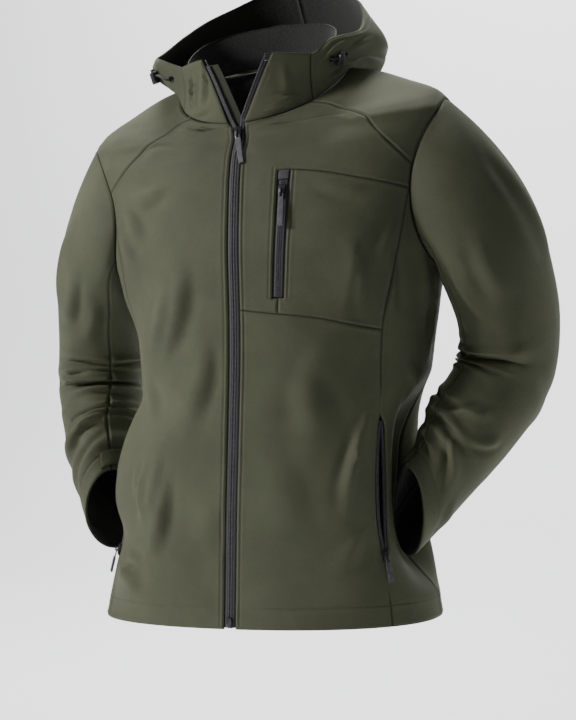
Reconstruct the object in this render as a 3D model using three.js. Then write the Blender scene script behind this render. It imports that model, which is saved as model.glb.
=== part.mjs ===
import * as THREE from "three";

// Softshell jacket with a hood, as it is worn. Millimetres, +Z up, the front faces -Y, +X is the
// wearer's left. The origin is the middle of the neck opening at the collar seam.

const clothThickness = 1.6;
const hemThickness = 3.0;
const hemHeight = 26;
const seamHalfGap = 0.17;
const neckLevel = 715;
const frontZipHalfWidth = 7.4;
const zipTapeReach = 5.8;
const zipWingReach = 13.5;
const chestZipAngle = 15.9;
const chestZipHalfAngle = 1.95;
const chestZipBottom = 379;
const chestZipTop = 522;
const handPocketBottom = 78;
const handPocketTop = 245;
const mainSliderLevel = 583;
const tapeDepth = 2.5;
const tapeThickness = 0.8;
const neckTapeDrop = 2.2;
const frontSliderBase = 1.0;
const coilDepth = 0.6;
const hoodSeamAngle = 55;
const innerCollarFrom = 53;
const cordRadius = 1.5;

const clothColour = 0x545a45;
const tapeColour = 0x3c3a40;
const metalColour = 0x3a3b3d;
const gripColour = 0x4b4a50;
const liningColour = 0x191a18;

// Sections of the body, from the hem up to the collar seam. Level is the way up along the cloth.
const torsoTable = {
  columns: ["level", "height", "half", "front", "back", "across", "deep", "roll", "pitch", "power"],
  rows: [
    [0, -627, 217, 114, 122, 12, 0, 3.2, 0, 2.2],
    [60, -567, 205, 116, 118, 14, 0, 3.0, 0, 2.2],
    [130, -495, 190, 122, 112, 18, 0, 2.5, 0, 2.2],
    [240, -384, 182, 130, 108, 25, 0, 2.5, 0, 2.25],
    [330, -292, 188, 132, 116, 28, 0, 3.5, 0, 2.3],
    [420, -200, 205, 128, 124, 24, 0, 4.5, 0, 2.3],
    [500, -120, 222, 110, 118, 16, 0, 5.5, 0, 2.25],
    [545, -74, 230, 92, 102, 10, 0, 5.8, 2, 2.2],
    [575, -44, 232, 78, 86, 7, 2, 5.8, 6.5, 2.15],
    [600, -25, 220, 76, 77, 5, 3, 5.6, 16, 2.1],
    [640, -6, 180, 74, 71, 3, 4, 5.2, 25.5, 2.0],
    [680, 8, 138, 74, 68, 1, 4, 4.4, 32, 2.0],
    [715, 13, 104, 75, 68, 0, 3, 3.6, 33.5, 2.0],
  ],
};

// Where a forearm presses the side of the body in, and where the open pocket stands off it.
const dents = [
  { side: 1, angle: 94, width: 20, low: 24, high: 292, part: 0.3 },
  { side: 1, angle: 118, width: 13, low: 20, high: 215, part: -0.07 },
  { side: -1, angle: 66, width: 22, low: 180, high: 400, part: 0.05 },
  { side: -1, angle: 63, width: 13, low: 96, high: 270, part: -0.13 },
  { side: -1, angle: 100, width: 21, low: 60, high: 330, part: 0.05 },
];

// The largest folds of the body, each a ridge between two places given as angle and level.
const torsoFolds = {
  columns: ["angle0", "level0", "angle1", "level1", "width", "height"],
  rows: [
    [-19, 427, -37, 309, 22, 5],
    [-12, 337, -23, 233, 20, 4],
    [-40, 200, -39, 118, 17, 6],
    [-30, 190, -34, 77, 16, 5],
    [-54, 56, -36, 40, 18, 6],
    [53, 262, 43, 120, 17, 6],
    [45, 245, 39, 150, 15, 4],
    [40, 440, 41, 351, 16, 3],
    [120, 350, 152, 292, 20, 6],
    [236, 340, 205, 300, 20, 5],
    [128, 215, 166, 160, 20, 5],
    [240, 225, 214, 172, 18, 4],
  ],
};

const armholes = {
  left: { side: 1, front: 60, back: 112, top: 588, bottom: 408 },
  right: { side: -1, front: 51, back: 118, top: 588, bottom: 408 },
};

// Rings of each sleeve past its head: centre outward, back and up, then half sizes.
const sleeveTables = {
  left: {
    columns: ["outward", "back", "height", "front", "top", "under"],
    rows: [
      [278, 25, -200, 70, 74, 55],
      [294, 46, -268, 65, 63, 55],
      [292, 51, -325, 61, 57, 56],
      [264, 28, -382, 60, 54, 54],
      [230, 2, -440, 54, 44, 44],
      [198, -20, -490, 46, 36, 34],
    ],
    leave: [0.8, 0.3, -0.6],
    tilt: 40,
    tiltPhase: 55,
  },
  right: {
    columns: ["outward", "back", "height", "front", "top", "under"],
    rows: [
      [234, 28, -238, 66, 58, 56],
      [252, 50, -305, 60, 54, 54],
      [254, 52, -360, 58, 54, 54],
      [241, 36, -415, 56, 50, 50],
      [219, 11, -465, 52, 43, 43],
      [200, -8, -512, 46, 36, 34],
    ],
    leave: [0.5, 0.25, -0.85],
    tilt: 38,
    tiltPhase: 35,
  },
};
const headSpan = 100;

// The largest folds of each sleeve, as ridges in ring angle and way along the sleeve.
const sleeveFolds = {
  left: {
    columns: ["angle0", "level0", "angle1", "level1", "width", "height"],
    rows: [
      [215, 205, 330, 214, 10, 6],
      [225, 238, 350, 226, 10, 5],
      [260, 268, 30, 262, 11, 4],
      [300, 320, 60, 350, 13, 4],
      [20, 60, 35, 130, 16, 3],
    ],
  },
  right: {
    columns: ["angle0", "level0", "angle1", "level1", "width", "height"],
    rows: [
      [220, 190, 20, 196, 10, 5],
      [250, 222, 60, 214, 10, 6],
      [230, 250, 30, 262, 10, 4],
      [320, 300, 80, 330, 12, 4],
      [10, 60, 25, 130, 16, 3],
    ],
  },
};

// Top edge of the collar by angle from the front.
const collarTop = {
  columns: ["angle", "height"],
  rows: [[0, 41], [20, 41], [55, 38], [75, 47], [95, 60], [115, 72], [140, 82], [180, 88]],
};

// Sections of the hood from the neck seam (out0 is the seam itself) over its fold to the rim.
const hoodTable = {
  columns: ["angle", "out1", "up1", "out2", "up2", "out3", "up3", "out4", "up4"],
  rows: [
    [55, 95, 6, 97, 18, 99, 29, 100, 38],
    [75, 106, 12, 116, 27, 120, 42, 114, 53],
    [95, 114, 25, 134, 34, 140, 52, 133, 64],
    [115, 122, 44, 157, 32, 159, 58, 132, 91],
    [128, 121, 36, 158, 22, 161, 58, 132, 108],
    [140, 121, 18, 160, 6, 164, 56, 132, 120],
    [160, 116, -8, 156, -20, 166, 56, 124, 137],
    [180, 112, -16, 152, -30, 168, 56, 118, 146],
    [200, 116, -8, 156, -20, 166, 56, 124, 137],
  ],
};

const princessTables = {
  left: {
    columns: ["level", "angle"],
    rows: [[0, 56.5], [78, 57.5], [245, 57.2], [338, 54.8], [406, 57], [475, 59.2], [715, 60]],
  },
  right: {
    columns: ["level", "angle"],
    rows: [[0, 61], [78, 62.5], [245, 62.2], [338, 57], [406, 53.5], [475, 51.8], [715, 51]],
  },
};
const sideBackTable = {
  columns: ["level", "angle"],
  rows: [[0, 96], [60, 99], [130, 104], [240, 108], [340, 110], [446, 108], [715, 108]],
};

const degree = Math.PI / 180;
const add = (a, b) => [a[0] + b[0], a[1] + b[1], a[2] + b[2]];
const sub = (a, b) => [a[0] - b[0], a[1] - b[1], a[2] - b[2]];
const times = (a, k) => [a[0] * k, a[1] * k, a[2] * k];
const dot = (a, b) => a[0] * b[0] + a[1] * b[1] + a[2] * b[2];
const cross = (a, b) => [
  a[1] * b[2] - a[2] * b[1],
  a[2] * b[0] - a[0] * b[2],
  a[0] * b[1] - a[1] * b[0],
];
const unit = (a) => times(a, 1 / Math.hypot(...a));
const mix = (a, b, t) => a.map((value, i) => value + (b[i] - value) * t);
const clamp = (value) => Math.min(1, Math.max(0, value));
const smooth = (value) => clamp(value) ** 2 * (3 - 2 * clamp(value));
const span = (from, to, cells) => {
  const list = [];
  for (let i = 0; i <= cells; i += 1) list.push(from + ((to - from) * i) / cells);
  return list;
};

function columnOf(table, name) {
  const index = table.columns.indexOf(name);
  return table.rows.map((row) => row[index]);
}

// Monotone cubic through one column of a table.
function slopesOf(xs, ys) {
  const steps = xs.slice(1).map((x, i) => (ys[i + 1] - ys[i]) / (x - xs[i]));
  const slopes = ys.map(() => 0);
  slopes[0] = steps[0];
  slopes[ys.length - 1] = steps[steps.length - 1];
  for (let i = 1; i < ys.length - 1; i += 1) {
    if (steps[i - 1] * steps[i] > 0) {
      const before = xs[i] - xs[i - 1];
      const after = xs[i + 1] - xs[i];
      const first = 2 * after + before;
      const second = after + 2 * before;
      slopes[i] = (first + second) / (first / steps[i - 1] + second / steps[i]);
    }
  }
  return slopes;
}

function hermite(from, to, slopeFrom, slopeTo, width, t) {
  const t2 = t * t;
  const t3 = t2 * t;
  return (2 * t3 - 3 * t2 + 1) * from + (t3 - 2 * t2 + t) * width * slopeFrom
    + (3 * t2 - 2 * t3) * to + (t3 - t2) * width * slopeTo;
}

const readers = new Map();
function read(table, name, at) {
  const key = table.columns[0];
  let byName = readers.get(table);
  if (!byName) {
    byName = {};
    readers.set(table, byName);
  }
  if (!byName[name]) {
    const xs = columnOf(table, key);
    const ys = columnOf(table, name);
    byName[name] = { xs, ys, slopes: slopesOf(xs, ys) };
  }
  const { xs, ys, slopes } = byName[name];
  let i = 0;
  while (i < xs.length - 2 && at > xs[i + 1]) i += 1;
  const width = xs[i + 1] - xs[i];
  return hermite(ys[i], ys[i + 1], slopes[i], slopes[i + 1], width, (at - xs[i]) / width);
}

// Smooth curve through points, by distance along their chords.
function chordsOf(points) {
  const stops = [0];
  for (let i = 1; i < points.length; i += 1) {
    const last = stops[i - 1];
    stops.push(last + Math.hypot(...[0, 1, 2].map((k) => points[i][k] - points[i - 1][k])));
  }
  return stops;
}

function splineSlopes(stops, points) {
  const last = points.length - 1;
  const step = (i) => points[i].map((value, k) => (points[i + 1][k] - value) / (stops[i + 1] - stops[i]));
  const slopes = points.map((point) => point.map(() => 0));
  for (let i = 1; i < last; i += 1) {
    const before = stops[i] - stops[i - 1];
    const after = stops[i + 1] - stops[i];
    const left = step(i - 1);
    const right = step(i);
    slopes[i] = left.map((value, k) => (right[k] * before + value * after) / (before + after));
  }
  slopes[0] = step(0).map((value, k) => value * 1.5 - slopes[1][k] / 2);
  slopes[last] = step(last - 1).map((value, k) => value * 1.5 - slopes[last - 1][k] / 2);
  return slopes;
}

function splineAt(stops, points, slopes, at) {
  let i = 0;
  while (i < stops.length - 2 && at > stops[i + 1]) i += 1;
  const width = stops[i + 1] - stops[i];
  const t = (at - stops[i]) / width;
  return points[i].map((value, k) => hermite(value, points[i + 1][k], slopes[i][k], slopes[i + 1][k], width, t));
}

// Height of the fold ridges at one place; perAngle is the length of one degree there.
function foldHeight(table, angle, level, perAngle, wrap) {
  let height = 0;
  for (const [angle0, level0, angle1, level1, width, tall] of table.rows) {
    const turn = (value) => (wrap ? ((((value + 180) % 360) + 360) % 360) - 180 : value);
    const spanAngle = turn(angle1 - angle0) * perAngle;
    const spanLevel = level1 - level0;
    const dx = turn(angle - angle0) * perAngle;
    const dy = level - level0;
    const along = (dx * spanAngle + dy * spanLevel) / (spanAngle ** 2 + spanLevel ** 2);
    const held = clamp(along);
    const off = Math.hypot(dx - spanAngle * held, dy - spanLevel * held);
    height += tall * Math.exp(-((off / width) ** 2)) * (0.45 + 0.55 * Math.sin(Math.PI * held));
  }
  return height;
}

function torso(angle, level) {
  const sin = Math.sin(angle * degree);
  const cos = Math.cos(angle * degree);
  const share = (1 + cos) / 2;
  const get = (name) => read(torsoTable, name, level);
  const power = get("power");
  const reach = (Math.abs(sin) ** power + Math.abs(cos) ** power) ** (-1 / power);
  let x = reach * get("half") * sin;
  let y = -reach * (get("front") * share + get("back") * (1 - share)) * cos;
  const signed = angle > 180 ? angle - 360 : angle;
  for (const dent of dents) {
    const place = (level - dent.low) / (dent.high - dent.low);
    const near = Math.exp(-(((signed * dent.side - dent.angle) / dent.width) ** 2));
    const press = dent.part * near * smooth(4 * place * (1 - place));
    x *= 1 - press;
    y *= 1 - press / 2;
  }
  const around = angle < -90 ? angle + 360 : angle;
  const fold = foldHeight(torsoFolds, around, level, 2.4, false);
  x += fold * sin;
  y -= fold * cos;
  const backward = 1 - 0.45 * smooth((y + 15) / 60);
  const z = get("height") + x * Math.tan(get("roll") * degree)
    + y * backward * Math.tan(get("pitch") * degree);
  return [x + get("across"), y + get("deep"), z];
}

// Angle and level of a place on an armhole; turn is 0 at the front and 90 at the top.
function armholePlace(arm, turn) {
  const middle = (arm.top + arm.bottom) / 2;
  const cos = Math.cos(turn * degree);
  const half = cos > 0 ? 90 - arm.front : arm.back - 90;
  const level = middle + ((arm.top - arm.bottom) / 2) * Math.sin(turn * degree);
  return [arm.side * (90 - half * cos), level];
}

const sleeveForms = {};
for (const name of ["left", "right"]) {
  const points = sleeveTables[name].rows.map((row) => row.slice(0, 3));
  const sizes = sleeveTables[name].rows.map((row) => row.slice(3, 6));
  const stops = chordsOf(points);
  sleeveForms[name] = {
    stops,
    points,
    sizes,
    length: stops[stops.length - 1],
    pointSlopes: splineSlopes(stops, points),
    sizeSlopes: splineSlopes(stops, sizes),
  };
}

function sleeveRing(name, turn, along) {
  const form = sleeveForms[name];
  const table = sleeveTables[name];
  const centre = splineAt(form.stops, form.points, form.pointSlopes, along);
  const ahead = splineAt(form.stops, form.points, form.pointSlopes, along + 1);
  const behind = splineAt(form.stops, form.points, form.pointSlopes, along - 1);
  const way = unit(sub(ahead, behind));
  const [front, top, under] = splineAt(form.stops, form.sizes, form.sizeSlopes, along);
  const faceRaw = [0, -1, 0];
  const face = unit(sub(faceRaw, times(way, dot(faceRaw, way))));
  const outer = cross(face, way);
  const sin = Math.sin(turn * degree);
  const cos = Math.cos(turn * degree);
  const late = smooth((along - (form.length - 160)) / 160);
  const tilt = table.tilt * late * Math.sin((turn - table.tiltPhase) * degree);
  const radial = add(times(face, front * cos), times(outer, (sin > 0 ? top : under) * sin));
  const fold = foldHeight(sleeveFolds[name], turn, along, 1.05, true);
  return add(add(centre, times(radial, 1 + fold / Math.hypot(...radial))), times(way, tilt));
}

// A sleeve: along runs 0 to headSpan over the sleeve head, then in mm past it.
function sleevePoint(name, turn, along) {
  const side = armholes[name].side;
  let point;
  if (along >= headSpan) {
    point = sleeveRing(name, turn, along - headSpan);
  } else {
    const [outward, forward, down] = sleeveTables[name].leave;
    const from = torso(...armholePlace(armholes[name], turn));
    const start = [from[0] * side, from[1], from[2]];
    const end = sleeveRing(name, turn, 0);
    const next = sleeveRing(name, turn, 4);
    const reach = Math.hypot(...sub(end, start));
    const leave = times(unit([outward, -forward * Math.cos(turn * degree), down]), reach);
    const arrive = times(unit(sub(next, end)), reach);
    const t = along / headSpan;
    point = [0, 1, 2].map((k) => hermite(start[k], end[k], leave[k], arrive[k], 1, t));
  }
  return [point[0] * side, point[1], point[2]];
}

function collarRim(angle) {
  const share = (1 + Math.cos(angle * degree)) / 2;
  const x = 104 * Math.sin(angle * degree);
  const y = -(85 * share + 62 * (1 - share)) * Math.cos(angle * degree);
  const around = angle > 180 ? 360 - angle : Math.abs(angle);
  return [x, y, read(collarTop, "height", around) + x * Math.tan(3.6 * degree)];
}

function collar(angle, up) {
  const base = torso(angle, neckLevel);
  const point = mix(base, collarRim(angle), up);
  const lean = -3 * Math.sin(Math.PI * clamp(up));
  return add(point, [lean * Math.sin(angle * degree), -lean * Math.cos(angle * degree), 0]);
}

// The standing collar inside the hood.
function innerCollar(angle, up) {
  const point = collar(angle, up);
  const fromEnd = Math.min(angle - innerCollarFrom, 360 - innerCollarFrom - angle);
  const sewn = 1 - smooth((fromEnd - 3) / 12);
  const inset = 2 * sewn + (3 + 6 * smooth(up / 0.35)) * (1 - sewn);
  return add(point, [-inset * Math.sin(angle * degree), inset * Math.cos(angle * degree), 0]);
}

function hood(angle, over) {
  const base = torso(angle, neckLevel);
  const start = Math.hypot(base[0], base[1]);
  const around = Math.abs(Math.atan2(base[0], -base[1])) / degree;
  const turn = smooth((around - 50) / 28);
  const out = [start];
  const up = [base[2] + 0.9 * turn];
  for (const i of [1, 2, 3, 4]) {
    out.push(read(hoodTable, `out${i}`, around));
    up.push(read(hoodTable, `up${i}`, around));
  }
  const stops = [0, 0.25, 0.5, 0.75, 1];
  const points = out.map((value, i) => [value, up[i]]);
  const [reach, rise] = splineAt(stops, points, splineSlopes(stops, points), over);
  const on = smooth((over - 0.05) / 0.5);
  const x = (reach * base[0]) / start;
  const y = (reach * base[1]) / start;
  const z = rise + smooth(over / 0.3) * x * Math.tan((3.6 + 0.9 * turn) * degree);
  const free = [x - 12 * on * turn, y, z];
  const join = smooth((Math.abs(angle) - hoodSeamAngle) / 16);
  return mix(collar(angle, over), free, join);
}

function partials(surface, p, q) {
  const e = 0.02;
  const alongP = times(sub(surface(p + e, q), surface(p - e, q)), 1 / (2 * e));
  const alongQ = times(sub(surface(p, q + e), surface(p, q - e)), 1 / (2 * e));
  return [alongP, alongQ];
}

// The hood and collar run over 0 to 1, so their surfaces are measured in hundredths.
const hundredth = (surface) => (p, q) => surface(p, q / 100);
const collarSurface = hundredth(collar);
const innerCollarSurface = hundredth(innerCollar);
const hoodSurface = hundredth(hood);
const sleeveSurface = (name) => (turn, along) => sleevePoint(name, turn, along);

function normalOf(surface, p, q) {
  const [alongP, alongQ] = partials(surface, p, q);
  return unit(cross(alongP, alongQ));
}

const pieces = new THREE.Group();
pieces.name = "softshell_jacket";

function addSolid(name, colour, vertices, triangles) {
  let volume = 0;
  for (const [a, b, c] of triangles) {
    volume += dot(vertices[a], cross(vertices[b], vertices[c]));
  }
  const facing = volume < 0 ? triangles.map(([a, b, c]) => [a, c, b]) : triangles;
  const geometry = new THREE.BufferGeometry();
  geometry.setAttribute("position", new THREE.Float32BufferAttribute(vertices.flat(), 3));
  geometry.setIndex(facing.flat());
  geometry.computeVertexNormals();
  const material = new THREE.MeshStandardMaterial({ color: colour, roughness: 0.8, metalness: 0 });
  material.name = `${name}_material`;
  const mesh = new THREE.Mesh(geometry, material);
  mesh.name = name;
  pieces.add(mesh);
  return mesh;
}

const placeKey = (p, q) => `${p.toFixed(3)},${q.toFixed(3)}`;

// Closed wall of cloth over one or more patches of places on a surface. Patches share their edge
// places. The outside is the surface, moved out by lift, and the cloth lies on its inner side.
function addSheet(name, colour, surface, patches, options = {}) {
  const thicknessAt = options.thicknessAt ?? (() => clothThickness);
  const lift = options.lift ?? 0;
  const bevels = options.bevels ?? new Map();
  const facing = options.facing ?? 1;
  const places = [];
  const indexOf = new Map();
  const triangles = [];
  const numberOf = ([p, q]) => {
    const key = placeKey(p, q);
    if (!indexOf.has(key)) {
      indexOf.set(key, places.length);
      places.push([p, q]);
    }
    return indexOf.get(key);
  };
  for (const patch of patches) {
    const ids = patch.map((row) => row.map(numberOf));
    for (let j = 0; j < ids.length - 1; j += 1) {
      for (let i = 0; i < ids[j].length - 1; i += 1) {
        const corners = [ids[j][i], ids[j][i + 1], ids[j + 1][i + 1], ids[j + 1][i]];
        const [a, b, c, d] = corners;
        if (a !== b && b !== c && c !== a) triangles.push([a, b, c]);
        if (a !== c && c !== d && d !== a) triangles.push([a, c, d]);
      }
    }
  }
  const used = new Set();
  for (const [a, b, c] of triangles) {
    used.add(`${a}>${b}`);
    used.add(`${b}>${c}`);
    used.add(`${c}>${a}`);
  }
  const edges = [];
  for (const edge of used) {
    const [a, b] = edge.split(">").map(Number);
    if (!used.has(`${b}>${a}`)) edges.push([a, b]);
  }
  const next = new Map(edges.map(([a, b]) => [a, b]));
  const before = new Map(edges.map(([a, b]) => [b, a]));
  const outside = [];
  const inside = [];
  places.forEach(([p, q], i) => {
    let pAt = p;
    let qAt = q;
    if (next.has(i)) {
      const here = surface(p, q);
      const [alongP, alongQ] = partials(surface, p, q);
      const normal = unit(cross(alongP, alongQ));
      const ahead = unit(sub(surface(...places[next.get(i)]), here));
      const back = unit(sub(here, surface(...places[before.get(i)])));
      const inA = unit(cross(normal, ahead));
      const inB = unit(cross(normal, back));
      const scale = seamHalfGap / Math.max(0.15, 1 + dot(inA, inB));
      const move = times(add(inA, inB), scale);
      const pp = dot(alongP, alongP);
      const pq = dot(alongP, alongQ);
      const qq = dot(alongQ, alongQ);
      const mp = dot(alongP, move);
      const mq = dot(alongQ, move);
      const det = pp * qq - pq * pq;
      pAt += (mp * qq - mq * pq) / det;
      qAt += (mq * pp - mp * pq) / det;
    }
    const normal = times(normalOf(surface, p, q), facing);
    const point = add(surface(pAt, qAt), times(normal, lift));
    const bevel = bevels.get(placeKey(p, q));
    outside.push(point);
    inside.push(add(point, bevel ?? times(normal, -thicknessAt(p, q))));
  });
  const count = places.length;
  const all = triangles.map((triangle) => triangle.slice());
  for (const [a, b, c] of triangles) all.push([a + count, c + count, b + count]);
  for (const [a, b] of edges) {
    const rises = surface(...places[b])[2] > surface(...places[a])[2];
    if (rises) all.push([b, a, a + count], [b, a + count, b + count]);
    else all.push([b, a, b + count], [a, a + count, b + count]);
  }
  return addSolid(name, colour, [...outside, ...inside], all);
}

// Closed body from rings of points; looped joins the last ring to the first.
function addSweep(name, colour, rings, looped = false) {
  const size = rings[0].length;
  const vertices = rings.flat();
  const triangles = [];
  const steps = looped ? rings.length : rings.length - 1;
  for (let j = 0; j < steps; j += 1) {
    const here = j * size;
    const there = ((j + 1) % rings.length) * size;
    for (let i = 0; i < size; i += 1) {
      const k = (i + 1) % size;
      triangles.push([here + i, here + k, there + k]);
      triangles.push([here + i, there + k, there + i]);
    }
  }
  if (!looped) {
    const shape = capTriangles(rings[0]);
    const last = (rings.length - 1) * size;
    for (const [a, b, c] of shape) triangles.push([a, c, b]);
    for (const [a, b, c] of capTriangles(rings[rings.length - 1])) {
      triangles.push([last + a, last + b, last + c]);
    }
  }
  return addSolid(name, colour, vertices, triangles);
}

// Triangles of a flat ring, kept in the ring's own order.
function capTriangles(ring) {
  const centre = times(ring.reduce(add), 1 / ring.length);
  let normal = [0, 0, 0];
  ring.forEach((point, i) => {
    normal = add(normal, cross(sub(point, centre), sub(ring[(i + 1) % ring.length], centre)));
  });
  normal = unit(normal);
  const sideways = unit(sub(sub(ring[1], ring[0]), times(normal, dot(sub(ring[1], ring[0]), normal))));
  const upward = cross(normal, sideways);
  const flat = ring.map((point) => new THREE.Vector2(dot(point, sideways), dot(point, upward)));
  return THREE.ShapeUtils.triangulateShape(flat, []);
}

// Body made of the filled boxes of a small grid, in a local frame.
function addBlocks(name, colour, frame, grid, filled, shape = (point) => point) {
  const { xs, ys, zs } = grid;
  const has = (i, j, k) => i >= 0 && j >= 0 && k >= 0 && i < xs.length - 1 && j < ys.length - 1
    && k < zs.length - 1 && filled(i, j, k);
  const vertices = [];
  const indexOf = new Map();
  const triangles = [];
  const numberOf = (i, j, k) => {
    const key = `${i},${j},${k}`;
    if (!indexOf.has(key)) {
      indexOf.set(key, vertices.length);
      vertices.push(frame.place(shape([xs[i], ys[j], zs[k]])));
    }
    return indexOf.get(key);
  };
  const quad = (corners) => {
    const [a, b, c, d] = corners.map((corner) => numberOf(...corner));
    triangles.push([a, b, c], [a, c, d]);
  };
  for (let i = 0; i < xs.length - 1; i += 1) {
    for (let j = 0; j < ys.length - 1; j += 1) {
      for (let k = 0; k < zs.length - 1; k += 1) {
        if (!has(i, j, k)) continue;
        if (!has(i - 1, j, k)) quad([[i, j, k], [i, j, k + 1], [i, j + 1, k + 1], [i, j + 1, k]]);
        if (!has(i + 1, j, k)) {
          quad([[i + 1, j, k], [i + 1, j + 1, k], [i + 1, j + 1, k + 1], [i + 1, j, k + 1]]);
        }
        if (!has(i, j - 1, k)) quad([[i, j, k], [i + 1, j, k], [i + 1, j, k + 1], [i, j, k + 1]]);
        if (!has(i, j + 1, k)) {
          quad([[i, j + 1, k], [i, j + 1, k + 1], [i + 1, j + 1, k + 1], [i + 1, j + 1, k]]);
        }
        if (!has(i, j, k - 1)) quad([[i, j, k], [i, j + 1, k], [i + 1, j + 1, k], [i + 1, j, k]]);
        if (!has(i, j, k + 1)) {
          quad([[i, j, k + 1], [i + 1, j, k + 1], [i + 1, j + 1, k + 1], [i, j + 1, k + 1]]);
        }
      }
    }
  }
  return addSolid(name, colour, vertices, triangles);
}

// Local frame on a surface: x along the surface to the right, y out of it, z up along it.
function frameAt(surface, p, q, facing = 1, raise = 0, lean = 0) {
  const [alongP, alongQ] = partials(surface, p, q);
  const out = times(unit(cross(alongP, alongQ)), facing);
  const upRaw = unit(sub(alongQ, times(out, dot(alongQ, out))));
  const sideRaw = cross(out, upRaw);
  const cos = Math.cos(lean * degree);
  const sin = Math.sin(lean * degree);
  const up = add(times(upRaw, cos), times(sideRaw, sin));
  const side = times(cross(out, up), -1);
  const origin = add(surface(p, q), times(out, raise));
  const place = ([x, y, z]) => add(add(add(origin, times(side, x)), times(out, y)), times(up, z));
  return { origin, side, out, up, place };
}

// Places of a patch between four edges that meet at their ends (a Coons patch).
function fillPatch(bottom, top, left, right) {
  const columns = bottom.length - 1;
  const rows = left.length - 1;
  const patch = [];
  for (let j = 0; j <= rows; j += 1) {
    const v = j / rows;
    const row = [];
    for (let i = 0; i <= columns; i += 1) {
      const u = i / columns;
      if (j === 0) row.push(bottom[i]);
      else if (j === rows) row.push(top[i]);
      else if (i === 0) row.push(left[j]);
      else if (i === columns) row.push(right[j]);
      else {
        row.push([0, 1].map((k) => (1 - v) * bottom[i][k] + v * top[i][k]
          + (1 - u) * left[j][k] + u * right[j][k]
          - (1 - u) * (1 - v) * bottom[0][k] - u * (1 - v) * bottom[columns][k]
          - (1 - u) * v * top[0][k] - u * v * top[columns][k]));
      }
    }
    patch.push(row);
  }
  return patch;
}

// Even resampling of a line of places, by smooth curve through them.
function resample(line, cells) {
  const points = line.map(([p, q]) => [p * 2.4, q, 0]);
  const stops = chordsOf(points);
  const slopes = splineSlopes(stops, points);
  return span(0, stops[stops.length - 1], cells).map((at, i) => {
    if (i === 0) return line[0];
    if (i === cells) return line[line.length - 1];
    const point = splineAt(stops, points, slopes, at);
    return [point[0] / 2.4, point[1]];
  });
}

const backwards = (line) => line.slice().reverse();
const joined = (...lines) => lines.reduce((all, line) => [...all, ...line.slice(1)]);

const angleOf = (width, level) => width / (read(torsoTable, "half", level) * degree);
const zipSpread = (level) => 2.6 * smooth((level - 600) / 115);
const zipEdgeAngle = (level) => angleOf(frontZipHalfWidth + zipSpread(level), level);
const pocketLevels = [0, 26, 78, 84, 105, 140, 175, 210, 238, 245, 280, 310, 338];
const highLevels = [338, 360, 382, 404, 426, 448, 470];
const arcCells = { front: 4, back: 3, under: 8 };
const yokeCells = 6;
const hoodAngles = [55, 62, 70, 80, 92, 104, 116, 128, 140, 148, 156, 164, 172, 180];

function seamsOf(name) {
  const arm = armholes[name];
  const side = arm.side;
  const meetTurn = name === "left" ? -6 : -10;
  const yokeTurn = name === "left" ? 10 : 14;
  const arc = (from, to, cells) => span(from, to, cells).map((turn) => armholePlace(arm, turn));
  const meet = armholePlace(arm, meetTurn);
  const pocket = (level) => {
    const place = (level - handPocketBottom) / (handPocketTop - handPocketBottom);
    return place > 0 && place < 1 ? Math.sin(Math.PI * place) ** 0.5 : 0;
  };
  const princessAngle = (level) => read(princessTables[name], "angle", level);
  const frontEdge = (level) => [side * (princessAngle(level) - 1.5 * pocket(level)), level];
  const sideEdge = (level) => [side * (princessAngle(level) + 5.5 * pocket(level)), level];
  const lowFront = pocketLevels.map(frontEdge);
  const lowSide = pocketLevels.map(sideEdge);
  const high = [...highLevels.map(frontEdge), meet];
  const backMeet = armholePlace(arm, 215);
  const backLevels = [...pocketLevels, 355, 372, 389, 406, 419, 432];
  const sideBack = [
    ...backLevels.map((level) => [side * read(sideBackTable, "angle", level), level]),
    backMeet,
  ];
  const frontYokePlaces = name === "left"
    ? [[52, 715], [49.5, 685], [43, 640], [40.5, 600], [42.5, 565], [49.8, 541]]
    : [[40, 715], [37.5, 685], [32.5, 635], [31.5, 600], [35.5, 566], [42, 546]];
  const frontYoke = frontYokePlaces.map(([angle, level]) => [side * angle, level]);
  frontYoke.push(armholePlace(arm, yokeTurn));
  const backYokePlaces = [[140, 715], [140, 680], [141, 640], [140, 600], [136, 566], [126, 541]];
  const backYoke = backYokePlaces.map(([angle, level]) => [side * angle, level]);
  backYoke.push(armholePlace(arm, 170));
  const zipEnd = zipEdgeAngle(neckLevel);
  const yokeStart = frontYokePlaces[0][0];
  const frontNeck = span(zipEnd, yokeStart, name === "left" ? 11 : 7);
  const collarNeck = name === "left" ? [] : [47.5];
  const yokeNeck = [yokeStart, ...collarNeck, ...hoodAngles.slice(0, 9)];
  return {
    arm, side, meetTurn, yokeTurn, meet, princessAngle, frontEdge, sideEdge,
    lowFront, lowSide, high, sideBack, frontNeck, yokeNeck,
    collarAngles: [...frontNeck, ...collarNeck, hoodSeamAngle],
    frontArc: arc(meetTurn, yokeTurn, arcCells.front),
    yokeArc: arc(yokeTurn, 170, yokeNeck.length - 1),
    backArc: arc(215, 170, arcCells.back),
    underArc: arc(meetTurn, -145, arcCells.under),
    turns: joined(
      span(-145, meetTurn, arcCells.under),
      span(meetTurn, yokeTurn, arcCells.front),
      span(yokeTurn, 170, yokeNeck.length - 1),
      span(170, 215, arcCells.back),
    ),
    frontYoke: resample(frontYoke, yokeCells),
    backYoke: resample(backYoke, yokeCells),
  };
}

const seams = { left: seamsOf("left"), right: seamsOf("right") };

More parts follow.
